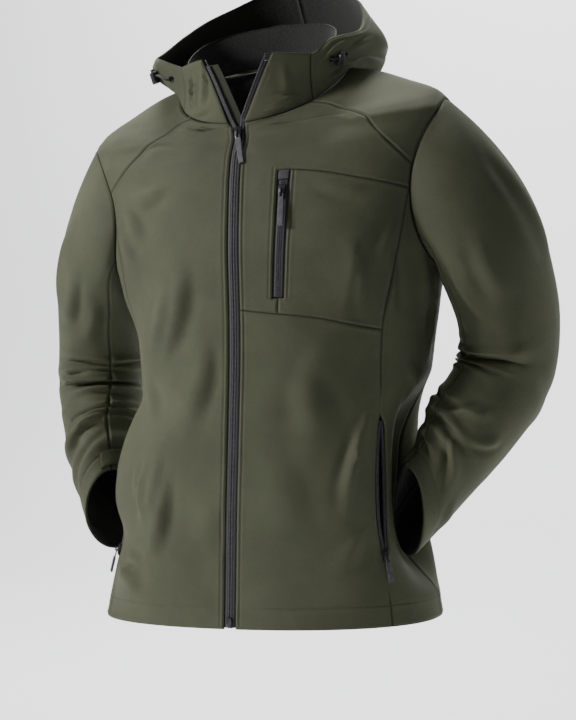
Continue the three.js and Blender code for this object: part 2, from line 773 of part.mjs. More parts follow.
// At the armholes and the neck both walls end in one plane, halfway between their directions.
const torsoBevels = new Map();
const sleeveBevels = { left: new Map(), right: new Map() };
const neckBevels = new Map();
function sharedBevel(body, other) {
  const facing = dot(body, other);
  return facing < 0.1 ? null : times(add(body, other), -clothThickness / (1 + facing));
}
for (const name of ["left", "right"]) {
  for (const turn of seams[name].turns) {
    const [angle, level] = armholePlace(armholes[name], turn);
    const body = normalOf(torso, angle, level);
    const arm = times(normalOf(sleeveSurface(name), turn, 0.6), -armholes[name].side);
    const bevel = sharedBevel(body, arm);
    if (!bevel) continue;
    torsoBevels.set(placeKey(angle, level), bevel);
    torsoBevels.set(placeKey(angle + 360, level), bevel);
    sleeveBevels[name].set(placeKey(turn, 0), bevel);
  }
  const { side, collarAngles } = seams[name];
  for (const angle of [...collarAngles, ...hoodAngles]) {
    const over = angle < hoodSeamAngle ? collarSurface : hoodSurface;
    const body = normalOf(torso, side * angle, neckLevel);
    const bevel = sharedBevel(body, normalOf(over, side * angle, 0.6));
    if (!bevel) continue;
    torsoBevels.set(placeKey(side * angle, neckLevel), bevel);
    torsoBevels.set(placeKey(360 - angle, neckLevel), bevel);
    neckBevels.set(placeKey(side * angle, 0), bevel);
  }
}

// The hem is turned up all round, except behind the front zip.
function bodyThickness(angle, level) {
  const nearZip = Math.abs(angle) < 9;
  return level < hemHeight + 1 && !nearZip ? hemThickness : clothThickness;
}
const bodyOptions = { thicknessAt: bodyThickness, bevels: torsoBevels };

// A patch given for the wearer's left, turned round for the right so that it still faces out.
function sidedPatch(side, bottom, top, near, far) {
  if (side > 0) return fillPatch(bottom, top, near, far);
  return fillPatch(backwards(bottom), backwards(top), far, near);
}

const frontLevels = [
  ...pocketLevels, 360, 382, 404, 426, 448, 470, 489, 507, 525, 542,
  558, 574, 590, 606, 622, 645, neckLevel,
];
const neckPlaces = (side, angles) => angles.map((angle) => [side * angle, neckLevel]);

const rightOuter = joined(
  [...seams.right.lowFront, ...seams.right.high.slice(1)],
  seams.right.frontArc,
  backwards(seams.right.frontYoke),
);
const rightZip = frontLevels.map((level) => [-zipEdgeAngle(level), level]);
const rightTop = neckPlaces(-1, seams.right.frontNeck);
const rightBottom = span(rightZip[0][0], rightOuter[0][0], rightTop.length - 1);
addSheet("front_right", clothColour, torso, [
  sidedPatch(-1, rightBottom.map((angle) => [angle, 0]), rightTop, rightZip, rightOuter),
], bodyOptions);

const left = seams.left;
const zipPlace = (level) => [zipEdgeAngle(level), level];
const chestSeamStart = [zipEdgeAngle(368), 368];
const chestSeamMiddle = [chestZipAngle, 361.5];
const chestSeamInner = resample([chestSeamStart, chestSeamMiddle], 2);
const chestSeamOuter = resample([chestSeamMiddle, [30.8, 354], [41.5, 346], left.frontEdge(338)], 8);
const chestSeam = joined(chestSeamInner, chestSeamOuter);
const lowerBottom = span(zipEdgeAngle(0), left.lowFront[0][0], chestSeam.length - 1);
const lowerZip = [...pocketLevels.slice(0, 11), 324, 368].map(zipPlace);
addSheet("front_left_lower", clothColour, torso, [
  fillPatch(lowerBottom.map((angle) => [angle, 0]), chestSeam, lowerZip, left.lowFront),
], bodyOptions);

const windowLow = chestZipAngle - chestZipHalfAngle;
const windowHigh = chestZipAngle + chestZipHalfAngle;
const windowLevels = [chestZipBottom, 408, 437, 466, 495, chestZipTop];
const windowEdge = (angle) => [
  chestSeamMiddle,
  [chestZipAngle, chestZipBottom],
  ...windowLevels.map((level) => [angle, level]),
];
const chestTop = resample([[windowHigh, chestZipTop], [27, 516], [40.2, 504], left.meet], 8);
const stripZip = [368, 378, 380, 408, 437, 466, 495, 526].map(zipPlace);
const stripTop = resample([stripZip[7], [windowLow, chestZipTop]], 2);
const overWindow = [[windowLow, chestZipTop], [windowHigh, chestZipTop]];
addSheet("front_left_upper", clothColour, torso, [
  fillPatch(chestSeamInner, stripTop, stripZip, windowEdge(windowLow)),
  fillPatch(
    joined(stripTop, overWindow, chestTop),
    neckPlaces(1, left.frontNeck),
    [526, 543, 558, 573, 588, 602, 616, 632, 650, 670, 692, neckLevel].map(zipPlace),
    joined(left.frontArc, backwards(left.frontYoke)),
  ),
], bodyOptions);

addSheet("chest_pocket_panel", clothColour, torso, [
  fillPatch(chestSeamOuter, chestTop, windowEdge(windowHigh), left.high),
], bodyOptions);

for (const name of ["right", "left"]) {
  const seam = seams[name];
  const near = [...seam.lowSide, ...seam.high.slice(1)];
  const bottom = span(near[0][0], seam.sideBack[0][0], arcCells.under).map((angle) => [angle, 0]);
  addSheet(`side_${name}`, clothColour, torso, [
    sidedPatch(seam.side, bottom, seam.underArc, near, seam.sideBack),
  ], bodyOptions);
  const neck = neckPlaces(seam.side, seam.yokeNeck);
  addSheet(`yoke_${name}`, clothColour, torso, [
    sidedPatch(seam.side, seam.frontYoke, seam.backYoke, neck, seam.yokeArc),
  ], bodyOptions);
}

const pastBack = (line) => line.map(([angle, level]) => [angle + 360, level]);
const backSide = ({ sideBack, backArc, backYoke }) => joined(sideBack, backArc, backwards(backYoke));
const backLeft = backSide(left);
const backRight = pastBack(backSide(seams.right));
const halfNeck = hoodAngles.slice(8);
const backNeck = joined(halfNeck, backwards(halfNeck).map((angle) => 360 - angle));
const backTop = backNeck.map((angle) => [angle, neckLevel]);
const backBottom = span(backLeft[0][0], backRight[0][0], backTop.length - 1);
addSheet("back_panel", clothColour, torso, [
  fillPatch(backBottom.map((angle) => [angle, 0]), backTop, backLeft, backRight),
], bodyOptions);

const headStops = [0, 16, 38, 68, headSpan];
for (const name of ["right", "left"]) {
  const { side } = armholes[name];
  const end = headSpan + sleeveForms[name].length;
  const stops = joined(headStops, span(headSpan, end - hemHeight, 13), [end - hemHeight, end]);
  const { turns } = seams[name];
  const grid = (list) => stops.map((along) => list.map((turn) => [turn, along]));
  const thicknessAt = (turn, along) => (along > end - hemHeight / 2 ? 2.4 : clothThickness);
  const options = { facing: -side, bevels: sleeveBevels[name], thicknessAt };
  const surface = sleeveSurface(name);
  addSheet(`sleeve_upper_${name}`, clothColour, surface, [grid(turns.slice(6))], options);
  addSheet(`sleeve_under_${name}`, clothColour, surface, [grid(turns.slice(0, 7))], options);
  const tab = { left: [282, 318, 32, 7], right: [290, 338, 30, 6] }[name];
  const [turnFrom, turnTo, before, after] = tab;
  const tabPatch = span(end - before, end - after, 2).map((along, row) => (
    span(turnFrom, turnTo - 3 * Math.abs(row - 1), 5).map((turn) => [turn - 360, along])
  ));
  addSheet(`cuff_tab_${name}`, clothColour, surface, [tabPatch], {
    facing: -side,
    lift: clothThickness + 0.7,
  });
}

// The zip opens above its slider: angle of each half's cloth edge up the collar.
const collarOpen = { left: 22.2, right: 18.8 };
const collarEdge = (name, up) => zipEdgeAngle(neckLevel) + collarOpen[name] * up;
const upStops = span(0, 100, 5);
for (const name of ["right", "left"]) {
  const { side } = armholes[name];
  const near = upStops.map((up) => [side * collarEdge(name, up / 100), up]);
  const far = upStops.map((up) => [side * hoodSeamAngle, up]);
  const low = seams[name].collarAngles;
  const high = low.map((angle) => {
    const part = (angle - low[0]) / (hoodSeamAngle - low[0]);
    return [side * (collarEdge(name, 1) + part * (hoodSeamAngle - collarEdge(name, 1))), 100];
  });
  addSheet(`collar_front_${name}`, clothColour, collarSurface, [
    sidedPatch(side, low.map((angle) => [side * angle, 0]), high, near, far),
  ], { bevels: neckBevels });
  const hoodStops = span(0, 100, 10);
  const hoodLine = (over) => hoodAngles.map((angle) => [side * angle, over]);
  const hoodEdge = (angle) => hoodStops.map((over) => [side * angle, over]);
  addSheet(`hood_${name}`, clothColour, hoodSurface, [
    sidedPatch(side, hoodLine(0), hoodLine(100), hoodEdge(55), hoodEdge(180)),
  ], { bevels: neckBevels });
}
const innerAngles = span(innerCollarFrom, 360 - innerCollarFrom, 24);
addSheet("collar_inner", clothColour, innerCollarSurface, [
  [5, 28, 52, 76, 100].map((up) => innerAngles.map((angle) => [angle, up])),
]);

// Places of a tape along a zip: each ring holds the section's points, across and deep.
function tapeRing(surface, centre, side, section, facing = 1) {
  const [p, q] = centre;
  const [alongP] = partials(surface, p, q);
  const perUnit = Math.hypot(...alongP);
  return section.map(([across, deep]) => {
    const at = p + (side * across) / perUnit;
    return add(surface(at, q), times(normalOf(surface, at, q), -deep * facing));
  });
}

const tapeSection = [
  [0, coilDepth], [zipTapeReach, coilDepth], [zipTapeReach, tapeDepth],
  [zipWingReach, tapeDepth], [zipWingReach, tapeDepth + tapeThickness], [0, tapeDepth + tapeThickness],
];
const tapeLevels = [2, ...frontLevels.slice(1, -3), 622];
const tapeUps = [7, 20, 40, 60, 80, 99];
const coilHalfGap = 0.17;
function coilRings(name, section) {
  const { side } = armholes[name];
  const sunk = (more) => section.map(([across, deep]) => [across, deep + more]);
  const low = tapeLevels.map((level) => {
    const angle = angleOf(coilHalfGap + zipSpread(level), level);
    return tapeRing(torso, [side * angle, level], side, sunk(neckTapeDrop * smooth((level - 590) / 30)));
  });
  const high = tapeUps.map((up) => {
    const cloth = collarEdge(name, up / 100);
    const [alongP] = partials(collarSurface, side * cloth, up);
    const angle = cloth - frontZipHalfWidth / Math.hypot(...alongP);
    return tapeRing(collarSurface, [side * angle, up], side, sunk(neckTapeDrop * (1 - smooth(up / 45))));
  });
  return [...low, ...high];
}
for (const name of ["right", "left"]) {
  addSweep(`front_zip_tape_${name}`, tapeColour, coilRings(name, tapeSection));
}
const flapSection = [
  [-11, 3.7], [-4, 3.7], [4, 3.7], [zipWingReach, 3.7],
  [zipWingReach, 5.0], [4, 5.0], [-4, 5.0], [-11, 5.0],
];
addSweep("storm_flap", clothColour, coilRings("right", flapSection));

const wingDepth = 2.7;
const chestSection = (coil) => [
  [-10, wingDepth], [-5.1, wingDepth], [-5.1, coil], [5.1, coil], [5.1, wingDepth],
  [10, wingDepth], [10, wingDepth + tapeThickness], [-10, wingDepth + tapeThickness],
];
const chestStations = [
  [374, 2.5], [379.9, 2.5], [381.2, coilDepth], [408, coilDepth], [437, coilDepth],
  [466, coilDepth], [495, coilDepth], [519.8, coilDepth], [521.1, 2.5], [526, 2.5],
];
addSweep("chest_zip_tape", tapeColour, chestStations.map(([level, coil]) => (
  tapeRing(torso, [chestZipAngle, level], 1, chestSection(coil))
)));

for (const name of ["right", "left"]) {
  const seam = seams[name];
  const levels = [84, 105, 140, 175, 210, 238];
  for (const [part, edge, way] of [["front", seam.frontEdge, -1], ["back", seam.sideEdge, 1]]) {
    const rings = levels.map((level) => {
      const [alongP] = partials(torso, ...seam.frontEdge(level));
      const open = Math.abs(seam.sideEdge(level)[0] - seam.frontEdge(level)[0]) * Math.hypot(...alongP);
      const reach = -Math.min(3.9, 0.42 * open);
      const section = [
        [reach, 1.0], [-0.6, 1.0], [-0.6, wingDepth + 0.4], [6, wingDepth + 0.4],
        [6, wingDepth + 1.1], [reach, wingDepth + 1.1],
      ];
      return tapeRing(torso, edge(level), seam.side * way, section);
    });
    addSweep(`hand_zip_${part}_${name}`, tapeColour, rings);
  }
  const bagFrom = (level) => seam.side * seam.frontEdge(level)[0] - 5.5;
  const bagTo = (level) => seam.side * seam.sideEdge(level)[0] + 6;
  const bagSurface = (angle, level) => {
    const place = clamp((level - 72) / 190);
    const across = clamp((seam.side * angle - bagFrom(level)) / (bagTo(level) - bagFrom(level)));
    const sunk = 3.5 - 0.4 * across + 10 * (Math.sin(Math.PI * place) * Math.sin(Math.PI * across)) ** 0.8;
    return add(torso(angle, level), times(normalOf(torso, angle, level), -sunk));
  };
  const bagAngles = (level) => (
    span(bagFrom(level), bagTo(level), 4).map((angle) => [seam.side * angle, level])
  );
  const bagRows = [72, 84, 105, 140, 175, 210, 238, 262].map(bagAngles);
  const bagPatch = seam.side > 0 ? bagRows : bagRows.map(backwards);
  addSheet(`hand_pocket_bag_${name}`, liningColour, bagSurface, [bagPatch]);
}
addSheet("chest_zip_tab", tapeColour, torso, [
  [511, 516, chestZipTop - 0.6].map((level) => (
    [-1.6, 0, 1.6].map((angle) => [chestZipAngle + angle, level])
  )),
], { lift: 0.9, thicknessAt: () => 1.1 });

const sliderGrid = {
  xs: [-4.8, -1.1, 1.1, 4.8],
  ys: [-0.2, 3.0, 5.6, 6.8],
  zs: [-9, -3.2, -1.8, 1.6, 3.0, 9],
};
function sliderFilled(i, j, k) {
  if (j === 0) return true;
  if (i !== 1) return false;
  return j === 1 ? k === 1 || k === 3 : k >= 1 && k <= 3;
}
// The body of a slider is wider at its top end, where the two rows part.
function sliderShape(scale) {
  return ([x, y, z]) => {
    const taper = Math.abs(x) > 2 ? 0.78 + (0.22 * (z + 9)) / 18 : 1;
    const round = Math.abs(z) > 8 && y > 2 && y < 4 ? 0.7 : 1;
    return [x * taper * scale, (y + 0.2) * round - 0.2, z * scale];
  };
}
function addSlider(name, frame, scale, base) {
  const raised = { place: ([x, y, z]) => frame.place([x, y + base, z]) };
  addBlocks(name, metalColour, raised, sliderGrid, sliderFilled, sliderShape(scale));
}
// A pull: a ring of metal round the slider's bridge, a link and a moulded grip.
function addPull(name, frame, base, link, length) {
  const grid = {
    xs: [-3.5, -1.75, 1.75, 3.5],
    ys: [3.3, 3.75, 4.85, 6.0].map((y) => y + base),
    zs: [-length, -link, -7.4, -0.75, 0.65],
  };
  const filled = (i, j, k) => {
    if (k === 0) return true;
    if (j !== 1) return false;
    return k === 2 ? i !== 1 : true;
  };
  const shape = ([x, y, z]) => {
    const slim = z > -link + 0.1 && z < -7 ? 0.8 : 1;
    const ring = z > -1 ? 0.85 : 1;
    const end = z < -length + 0.1 && Math.abs(x) > 2 ? 0.88 : 1;
    return [x * slim * ring * end, y, z];
  };
  addBlocks(name, gripColour, frame, grid, filled, shape);
}

const mainFrame = frameAt(torso, 0, mainSliderLevel);
addSlider("front_zip_slider", mainFrame, 1, frontSliderBase);
addPull("front_pull", frameAt(torso, 0, mainSliderLevel, 1, 0, 4), frontSliderBase, 14, 43);
const chestFrame = frameAt(torso, chestZipAngle, 497);
addSlider("chest_zip_slider", chestFrame, 0.95, 0);
addPull("chest_pull", frameAt(torso, chestZipAngle, 497, 1, 0, 3), 0, 14, 42);
for (const name of ["right", "left"]) {
  const seam = seams[name];
  const place = [seam.side * (seam.princessAngle(86) + 0.4), 82];
  addSlider(`hand_zip_slider_${name}`, frameAt(torso, ...place), 0.8, 0.6);
  addPull(`hand_pull_${name}`, frameAt(torso, ...place, 1, 0, 0), 0.6, 11, 30);
}
addBlocks("front_zip_box", metalColour, frameAt(torso, 0, 9), {
  xs: [-3.6, 3.6],
  ys: [-0.2, 1.8],
  zs: [-5.5, 5.5],
}, () => true);

// Hood cord: a loop outside the hood between two eyelets, through a cord lock.
const lockGrid = {
  xs: [-4.4, -2.2, 2.2, 4.4],
  ys: [0.5, 2.7, 6.5, 8.7],
  zs: [-8.5, -1.9, 1.9, 5.5, 9.5],
};
const lockFilled = (i, j, k) => {
  if (k === 3) return i === 1 && j === 1;
  return !(j === 1 && k === 1);
};
const lockShape = ([x, y, z]) => {
  const corner = Math.abs(x) > 4 && (y < 1 || y > 8) ? 0.8 : 1;
  return [x * corner, 4.6 + (y - 4.6) * (Math.abs(x) > 4 ? 0.9 : 1), z];
};
const cordPlaces = {
  left: { lock: [75, 50], reach: 6.2 },
  right: { lock: [-69, 60], reach: 6.2 },
};
function circle(centre, across, upward, radius, count) {
  return span(0, 360, count).slice(0, count).map((turn) => add(centre, add(
    times(across, radius * Math.cos(turn * degree)),
    times(upward, radius * Math.sin(turn * degree)),
  )));
}
for (const name of ["right", "left"]) {
  const { lock, reach } = cordPlaces[name];
  const frame = frameAt(hoodSurface, ...lock);
  addBlocks(`cord_lock_${name}`, metalColour, frame, lockGrid, lockFilled, lockShape);
  const ends = [-1, 1].map((end) => frameAt(hoodSurface, lock[0] + end * reach, lock[1] + 3));
  ends.forEach((eyelet, i) => {
    const rings = span(0, 360, 12).slice(0, 12).map((turn) => {
      const away = [Math.cos(turn * degree), 0, Math.sin(turn * degree)];
      const at = (radius, height) => eyelet.place([away[0] * radius, height, away[2] * radius]);
      return [at(2.0, 0.6), at(3.6, 0.6), at(3.3, 1.4), at(2.2, 1.4)];
    });
    addSweep(`eyelet_${name}_${i === 0 ? "front" : "back"}`, metalColour, rings, true);
  });
  const path = [
    ends[0].place([0, 0.4, 0]),
    ends[0].place([0, 2.6, 0]),
    ends[0].place([2.2, 4.3, 0]),
    frame.place([-4.4, 4.6, 0]),
    frame.place([0, 4.6, 0]),
    frame.place([4.4, 4.6, 0]),
    ends[1].place([-2.2, 4.3, 0]),
    ends[1].place([0, 2.6, 0]),
    ends[1].place([0, 0.4, 0]),
  ];
  const stops = chordsOf(path);
  const slopes = splineSlopes(stops, path);
  const rings = span(0, stops[stops.length - 1], 22).map((at) => {
    const here = splineAt(stops, path, slopes, at);
    const way = unit(sub(
      splineAt(stops, path, slopes, at + 0.1),
      splineAt(stops, path, slopes, at - 0.1),
    ));
    const across = unit(cross(frame.up, way));
    return circle(here, across, unit(cross(way, across)), cordRadius, 8);
  });
  addSweep(`hood_cord_${name}`, tapeColour, rings);
}

export default pieces;
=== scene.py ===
import math

import bpy
import numpy as np
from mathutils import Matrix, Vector


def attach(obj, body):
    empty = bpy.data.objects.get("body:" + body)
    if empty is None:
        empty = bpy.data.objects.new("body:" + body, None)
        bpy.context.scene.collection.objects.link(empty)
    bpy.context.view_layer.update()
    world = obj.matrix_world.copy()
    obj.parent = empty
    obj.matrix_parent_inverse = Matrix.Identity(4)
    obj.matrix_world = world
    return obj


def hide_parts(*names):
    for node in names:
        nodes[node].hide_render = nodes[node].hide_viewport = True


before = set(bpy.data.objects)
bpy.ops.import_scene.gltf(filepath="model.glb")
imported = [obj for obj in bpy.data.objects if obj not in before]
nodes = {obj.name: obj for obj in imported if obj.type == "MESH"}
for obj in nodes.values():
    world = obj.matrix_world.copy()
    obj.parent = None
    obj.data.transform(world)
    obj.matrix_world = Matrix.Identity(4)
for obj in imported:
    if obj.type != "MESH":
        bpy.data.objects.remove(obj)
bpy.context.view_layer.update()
mm = 0.001
jacketBody = "jacket"
print("frame loaded:", len(nodes), "nodes")


# Camera, at the height and side that the jacket is seen from

view = {
    "azimuth": 25, "elevation": 4, "distance": 2400, "lens": 100, "sensor": 36, "perPixel": 1.2,
    "middle": (288, 360),  # of the picture, in its pixels
    "origin": (262, 95),  # where the frame's origin shows in it
}
azimuth, elevation = math.radians(view["azimuth"]), math.radians(view["elevation"])
back = Vector((math.sin(azimuth) * math.cos(elevation), -math.cos(azimuth) * math.cos(elevation),
               math.sin(elevation)))
sideways = Vector((math.cos(azimuth), math.sin(azimuth), 0))
upward = back.cross(sideways)
aside, below = (middle - shown for middle, shown in zip(view["middle"], view["origin"]))
centre = (sideways * aside - upward * below) * view["perPixel"] * mm
camera = bpy.data.objects.new("camera", bpy.data.cameras.new("camera"))
bpy.context.scene.collection.objects.link(camera)
camera.location = centre + back * view["distance"] * mm
camera.rotation_mode = "QUATERNION"
camera.rotation_quaternion = (-back).to_track_quat("-Z", "Y")
camera.data.lens = view["lens"]
camera.data.sensor_width = view["sensor"]
bpy.context.scene.camera = camera
print("camera placed")


# Smooth lines and tables

def columnSlopes(at, values):
    steps = np.diff(values) / np.diff(at)
    slopes = np.zeros(len(values))
    slopes[0], slopes[-1] = steps[0], steps[-1]
    for i in range(1, len(values) - 1):
        if steps[i - 1] * steps[i] > 0:
            before, after = at[i] - at[i - 1], at[i + 1] - at[i]
            first, second = 2 * after + before, after + 2 * before
            slopes[i] = (first + second) / (first / steps[i - 1] + second / steps[i])
    return slopes


def easedBetween(start, end, slopeStart, slopeEnd, width, t):
    t2, t3 = t * t, t * t * t
    return ((2 * t3 - 3 * t2 + 1) * start + (t3 - 2 * t2 + t) * width * slopeStart
            + (3 * t2 - 2 * t3) * end + (t3 - t2) * width * slopeEnd)


class Sections:
    # A short table read smoothly: its first column is the place, the others are sizes there.
    def __init__(self, names, rows):
        table = np.array(rows, float)
        self.at = table[:, 0]
        self.values = dict(zip(names.split(), table.T))
        self.slopes = {name: columnSlopes(self.at, column) for name, column in self.values.items()}

    def read(self, name, at):
        at = np.asarray(at, float)
        i = np.searchsorted(self.at[1:-1], at)
        width = self.at[i + 1] - self.at[i]
        value, slope = self.values[name], self.slopes[name]
        return easedBetween(value[i], value[i + 1], slope[i], slope[i + 1], width, (at - self.at[i]) / width)


def lineStops(points, perFirst=1.0):
    steps = np.diff(points, axis=0) * np.array([perFirst] + [1.0] * (points.shape[1] - 1))
    return np.concatenate([[0], np.cumsum(np.linalg.norm(steps, axis=1))])


def lineSlopes(stops, points):
    steps = np.diff(points, axis=0) / np.diff(stops)[:, None]
    slopes = np.zeros_like(points)
    before, after = np.diff(stops)[:-1, None], np.diff(stops)[1:, None]
    if len(points) > 2:
        slopes[1:-1] = (steps[1:] * before + steps[:-1] * after) / (before + after)
    slopes[0] = steps[0] * 1.5 - slopes[1] / 2
    slopes[-1] = steps[-1] * 1.5 - slopes[-2] / 2
    if len(points) == 2:
        slopes[:] = steps[0]
    return slopes


def onLine(stops, points, slopes, at):
    at = np.asarray(at, float)
    i = np.searchsorted(stops[1:-1], at)
    width = (stops[i + 1] - stops[i])[..., None]
    t = (at - stops[i])[..., None] / width
    return easedBetween(points[i], points[i + 1], slopes[i], slopes[i + 1], width, t)


def smooth(value):
    value = np.clip(value, 0, 1)
    return value * value * (3 - 2 * value)


def rad(angle):
    return np.radians(angle)


def unit(vectors):
    return vectors / np.linalg.norm(vectors, axis=-1, keepdims=True)


# The body, as sections from the hem up to the collar seam, in millimetres

body = {
    "sections": Sections("level height half front back across deep roll pitch power", [
        [0, -627, 217, 114, 122, 12, 0, 3.2, 0, 2.2],
        [60, -567, 205, 116, 118, 14, 0, 3.0, 0, 2.2],
        [130, -495, 190, 122, 112, 18, 0, 2.5, 0, 2.2],
        [240, -384, 182, 130, 108, 25, 0, 2.5, 0, 2.25],
        [330, -292, 188, 132, 116, 28, 0, 3.5, 0, 2.3],
        [420, -200, 205, 128, 124, 24, 0, 4.5, 0, 2.3],
        [500, -120, 222, 110, 118, 16, 0, 5.5, 0, 2.25],
        [545, -74, 230, 92, 102, 10, 0, 5.8, 2, 2.2],
        [575, -44, 232, 78, 86, 7, 2, 5.8, 6.5, 2.15],
        [600, -25, 220, 76, 77, 5, 3, 5.6, 16, 2.1],
        [640, -6, 180, 74, 71, 3, 4, 5.2, 25.5, 2.0],
        [680, 8, 138, 74, 68, 1, 4, 4.4, 32, 2.0],
        [715, 13, 104, 75, 68, 0, 3, 3.6, 33.5, 2.0],
    ]),
    "neckLevel": 715,
    "hemHeight": 26,
    "dents": [  # side, angle, width, low, high, share pressed in; below 0 the body stands out there
        (1, 94, 20, 24, 292, 0.3),
        (1, 118, 13, 20, 215, -0.07),
        (-1, 66, 22, 180, 400, 0.05),
        (-1, 63, 13, 96, 270, -0.13),
        (-1, 100, 21, 60, 330, 0.05),
    ],
    "folds": [  # the same large ridges as the solids: angle, level to angle, level, width, height
        (-19, 427, -37, 309, 22, 5),
        (-12, 337, -23, 233, 20, 4),
        (-40, 200, -39, 118, 17, 6),
        (-30, 190, -34, 77, 16, 5),
        (-54, 56, -36, 40, 18, 6),
        (53, 262, 43, 120, 17, 6),
        (45, 245, 39, 150, 15, 4),
        (40, 440, 41, 351, 16, 3),
        (120, 350, 152, 292, 20, 6),
        (236, 340, 205, 300, 20, 5),
        (128, 215, 166, 160, 20, 5),
        (240, 225, 214, 172, 18, 4),
    ],
    "creases": [  # angle, level to angle, level, bow, width, height
        (8, 676, 26, 700, 4, 8, 1.6),
        (-10, 640, -22, 672, 3, 6, 1.5),
        (-16, 622, -30, 660, -3, 7, 1.3),
        (-19, 424, -36, 312, 10, 9, 2.2),
        (-26, 405, -41, 318, 6, 7, 1.6),
        (-12, 336, -22, 238, 8, 9, 1.8),
        (-40, 196, -40, 120, -5, 6, 2.6),
        (-34, 205, -37, 132, 4, 6, 1.8),
        (-30, 186, -34, 82, 5, 7, 2.4),
        (-47, 188, -45, 140, -3, 5, 1.6),
        (-54, 58, -37, 42, 5, 7, 2.6),
        (-50, 78, -38, 66, 3, 6, 1.8),
        (-8, 150, -14, 90, 4, 12, 1.2),
        (-48, 300, -42, 235, 8, 9, 1.5),
        (53, 260, 44, 128, -6, 7, 2.4),
        (46, 240, 40, 152, 4, 6, 2.0),
        (39, 436, 41, 353, 5, 7, 1.6),
        (46, 424, 49, 340, -4, 6, 1.5),
        (54, 420, 57, 352, 3, 6, 1.6),
        (20, 300, 28, 180, 14, 16, 1.4),
        (32, 330, 36, 215, -10, 14, 1.3),
        (12, 220, 18, 90, 8, 16, 1.1),
        (48, 118, 36, 70, 5, 9, 1.6),
        (26, 505, 44, 492, -4, 7, 1.2),
        (-24, 520, -40, 505, 4, 9, 1.4),
        (-20, 560, -34, 560, -6, 9, 1.2),
        (-44, 500, -40, 450, 5, 8, 1.8),
        (-50, 470, -44, 425, 3, 7, 1.7),
        (20, 610, 34, 590, 6, 9, 1.2),
        (12, 640, 24, 622, -3, 7, 1.0),
        (56, 455, 52, 400, -4, 8, 1.4),
        (72, 420, 78, 330, 8, 10, 2.4),
        (84, 395, 92, 300, 10, 9, 2.2),
        (70, 300, 84, 240, 6, 8, 2.0),
        (-72, 410, -80, 320, -8, 10, 2.4),
        (-88, 380, -94, 290, -8, 9, 2.2),
        (-70, 270, -86, 225, 5, 8, 2.0),
        (76, 120, 88, 66, 4, 9, 2.0),
        (-74, 130, -88, 72, 4, 9, 2.0),
        (118, 352, 150, 296, 12, 9, 2.2),
        (126, 318, 168, 262, 10, 8, 1.8),
        (236, 344, 206, 302, -10, 9, 2.2),
        (230, 306, 196, 262, -8, 8, 1.8),
        (128, 214, 164, 164, 9, 9, 2.0),
        (238, 222, 214, 176, -7, 8, 1.9),
        (150, 250, 208, 246, 14, 14, 1.6),
        (122, 452, 150, 512, 8, 12, 1.6),
        (238, 452, 212, 512, -8, 12, 1.6),
        (166, 470, 174, 330, 10, 18, 1.2),
        (196, 480, 188, 340, -9, 17, 1.1),
        (140, 130, 172, 96, 6, 12, 1.5),
        (226, 140, 200, 100, -6, 12, 1.4),
    ],
}
armholes = {
    "left": {"side": 1, "front": 60, "back": 112, "top": 588, "bottom": 408},
    "right": {"side": -1, "front": 51, "back": 118, "top": 588, "bottom": 408},
}
neckLevel = body["neckLevel"]
bodyPerDegree, sleevePerDegree = 2.4, 1.05  # about how many millimetres a degree is around each
creaseStrength = {"body": 2.0, "sleeve": 1.9, "hood": 1.3, "collar": 2.1}


def nearTurn(value, turns):
    # Whole turns are left out, where the places go right round.
    return (value + 180) % 360 - 180 if turns else value


def ridges(rows, first, second, perFirst, turns=False):
    height = np.zeros(np.broadcast(first, second).shape)
    for p0, q0, p1, q1, width, tall in rows:
        spanP, spanQ = nearTurn(p1 - p0, turns) * perFirst, q1 - q0
        dx, dy = nearTurn(first - p0, turns) * perFirst, second - q0
        held = np.clip((dx * spanP + dy * spanQ) / (spanP ** 2 + spanQ ** 2), 0, 1)
        off = np.hypot(dx - spanP * held, dy - spanQ * held)
        height += tall * np.exp(-(off / width) ** 2) * (0.45 + 0.55 * np.sin(np.pi * held))
    return height


def alongCrease(row, first, second, perFirst, turns):
    # How far a place is across a bowed crease, in its widths, and how strong the crease is there.
    p0, q0, p1, q1, bow, width, tall = row
    spanP, spanQ = nearTurn(p1 - p0, turns) * perFirst, q1 - q0
    length = math.hypot(spanP, spanQ)
    dx, dy = nearTurn(first - p0, turns) * perFirst, second - q0
    along = (dx * spanP + dy * spanQ) / length ** 2
    across = (dy * spanP - dx * spanQ) / length - bow * 4 * along * (1 - along)
    ends = smooth((along + 0.1) / 0.5) * smooth((1.1 - along) / 0.5)
    return across / (width * (0.75 + 0.5 * np.clip(along, 0, 1))), tall * ends


def creased(rows, first, second, perFirst, turns=False):
    # A rounded ridge with a narrower valley on the inner side of its bow.
    height = np.zeros(np.broadcast(first, second).shape)
    for row in rows:
        r, tall = alongCrease(row, first, second, perFirst, turns)
        way = math.copysign(1.6, row[4])
        height += tall * (np.exp(-r ** 2) - 0.75 * np.exp(-((r - way) / 0.75) ** 2))
    return height


def pinched(rows, first, second, perFirst, turns=False):
    # A sharp valley, where the cloth folds back on itself.
    height = np.zeros(np.broadcast(first, second).shape)
    for row in rows:
        r, deep = alongCrease(row, first, second, perFirst, turns)
        height -= deep * (np.exp(-1.5 * np.abs(r) ** 1.15) - 0.35 * np.exp(-((np.abs(r) - 2.1) / 0.9) ** 2))
    return height


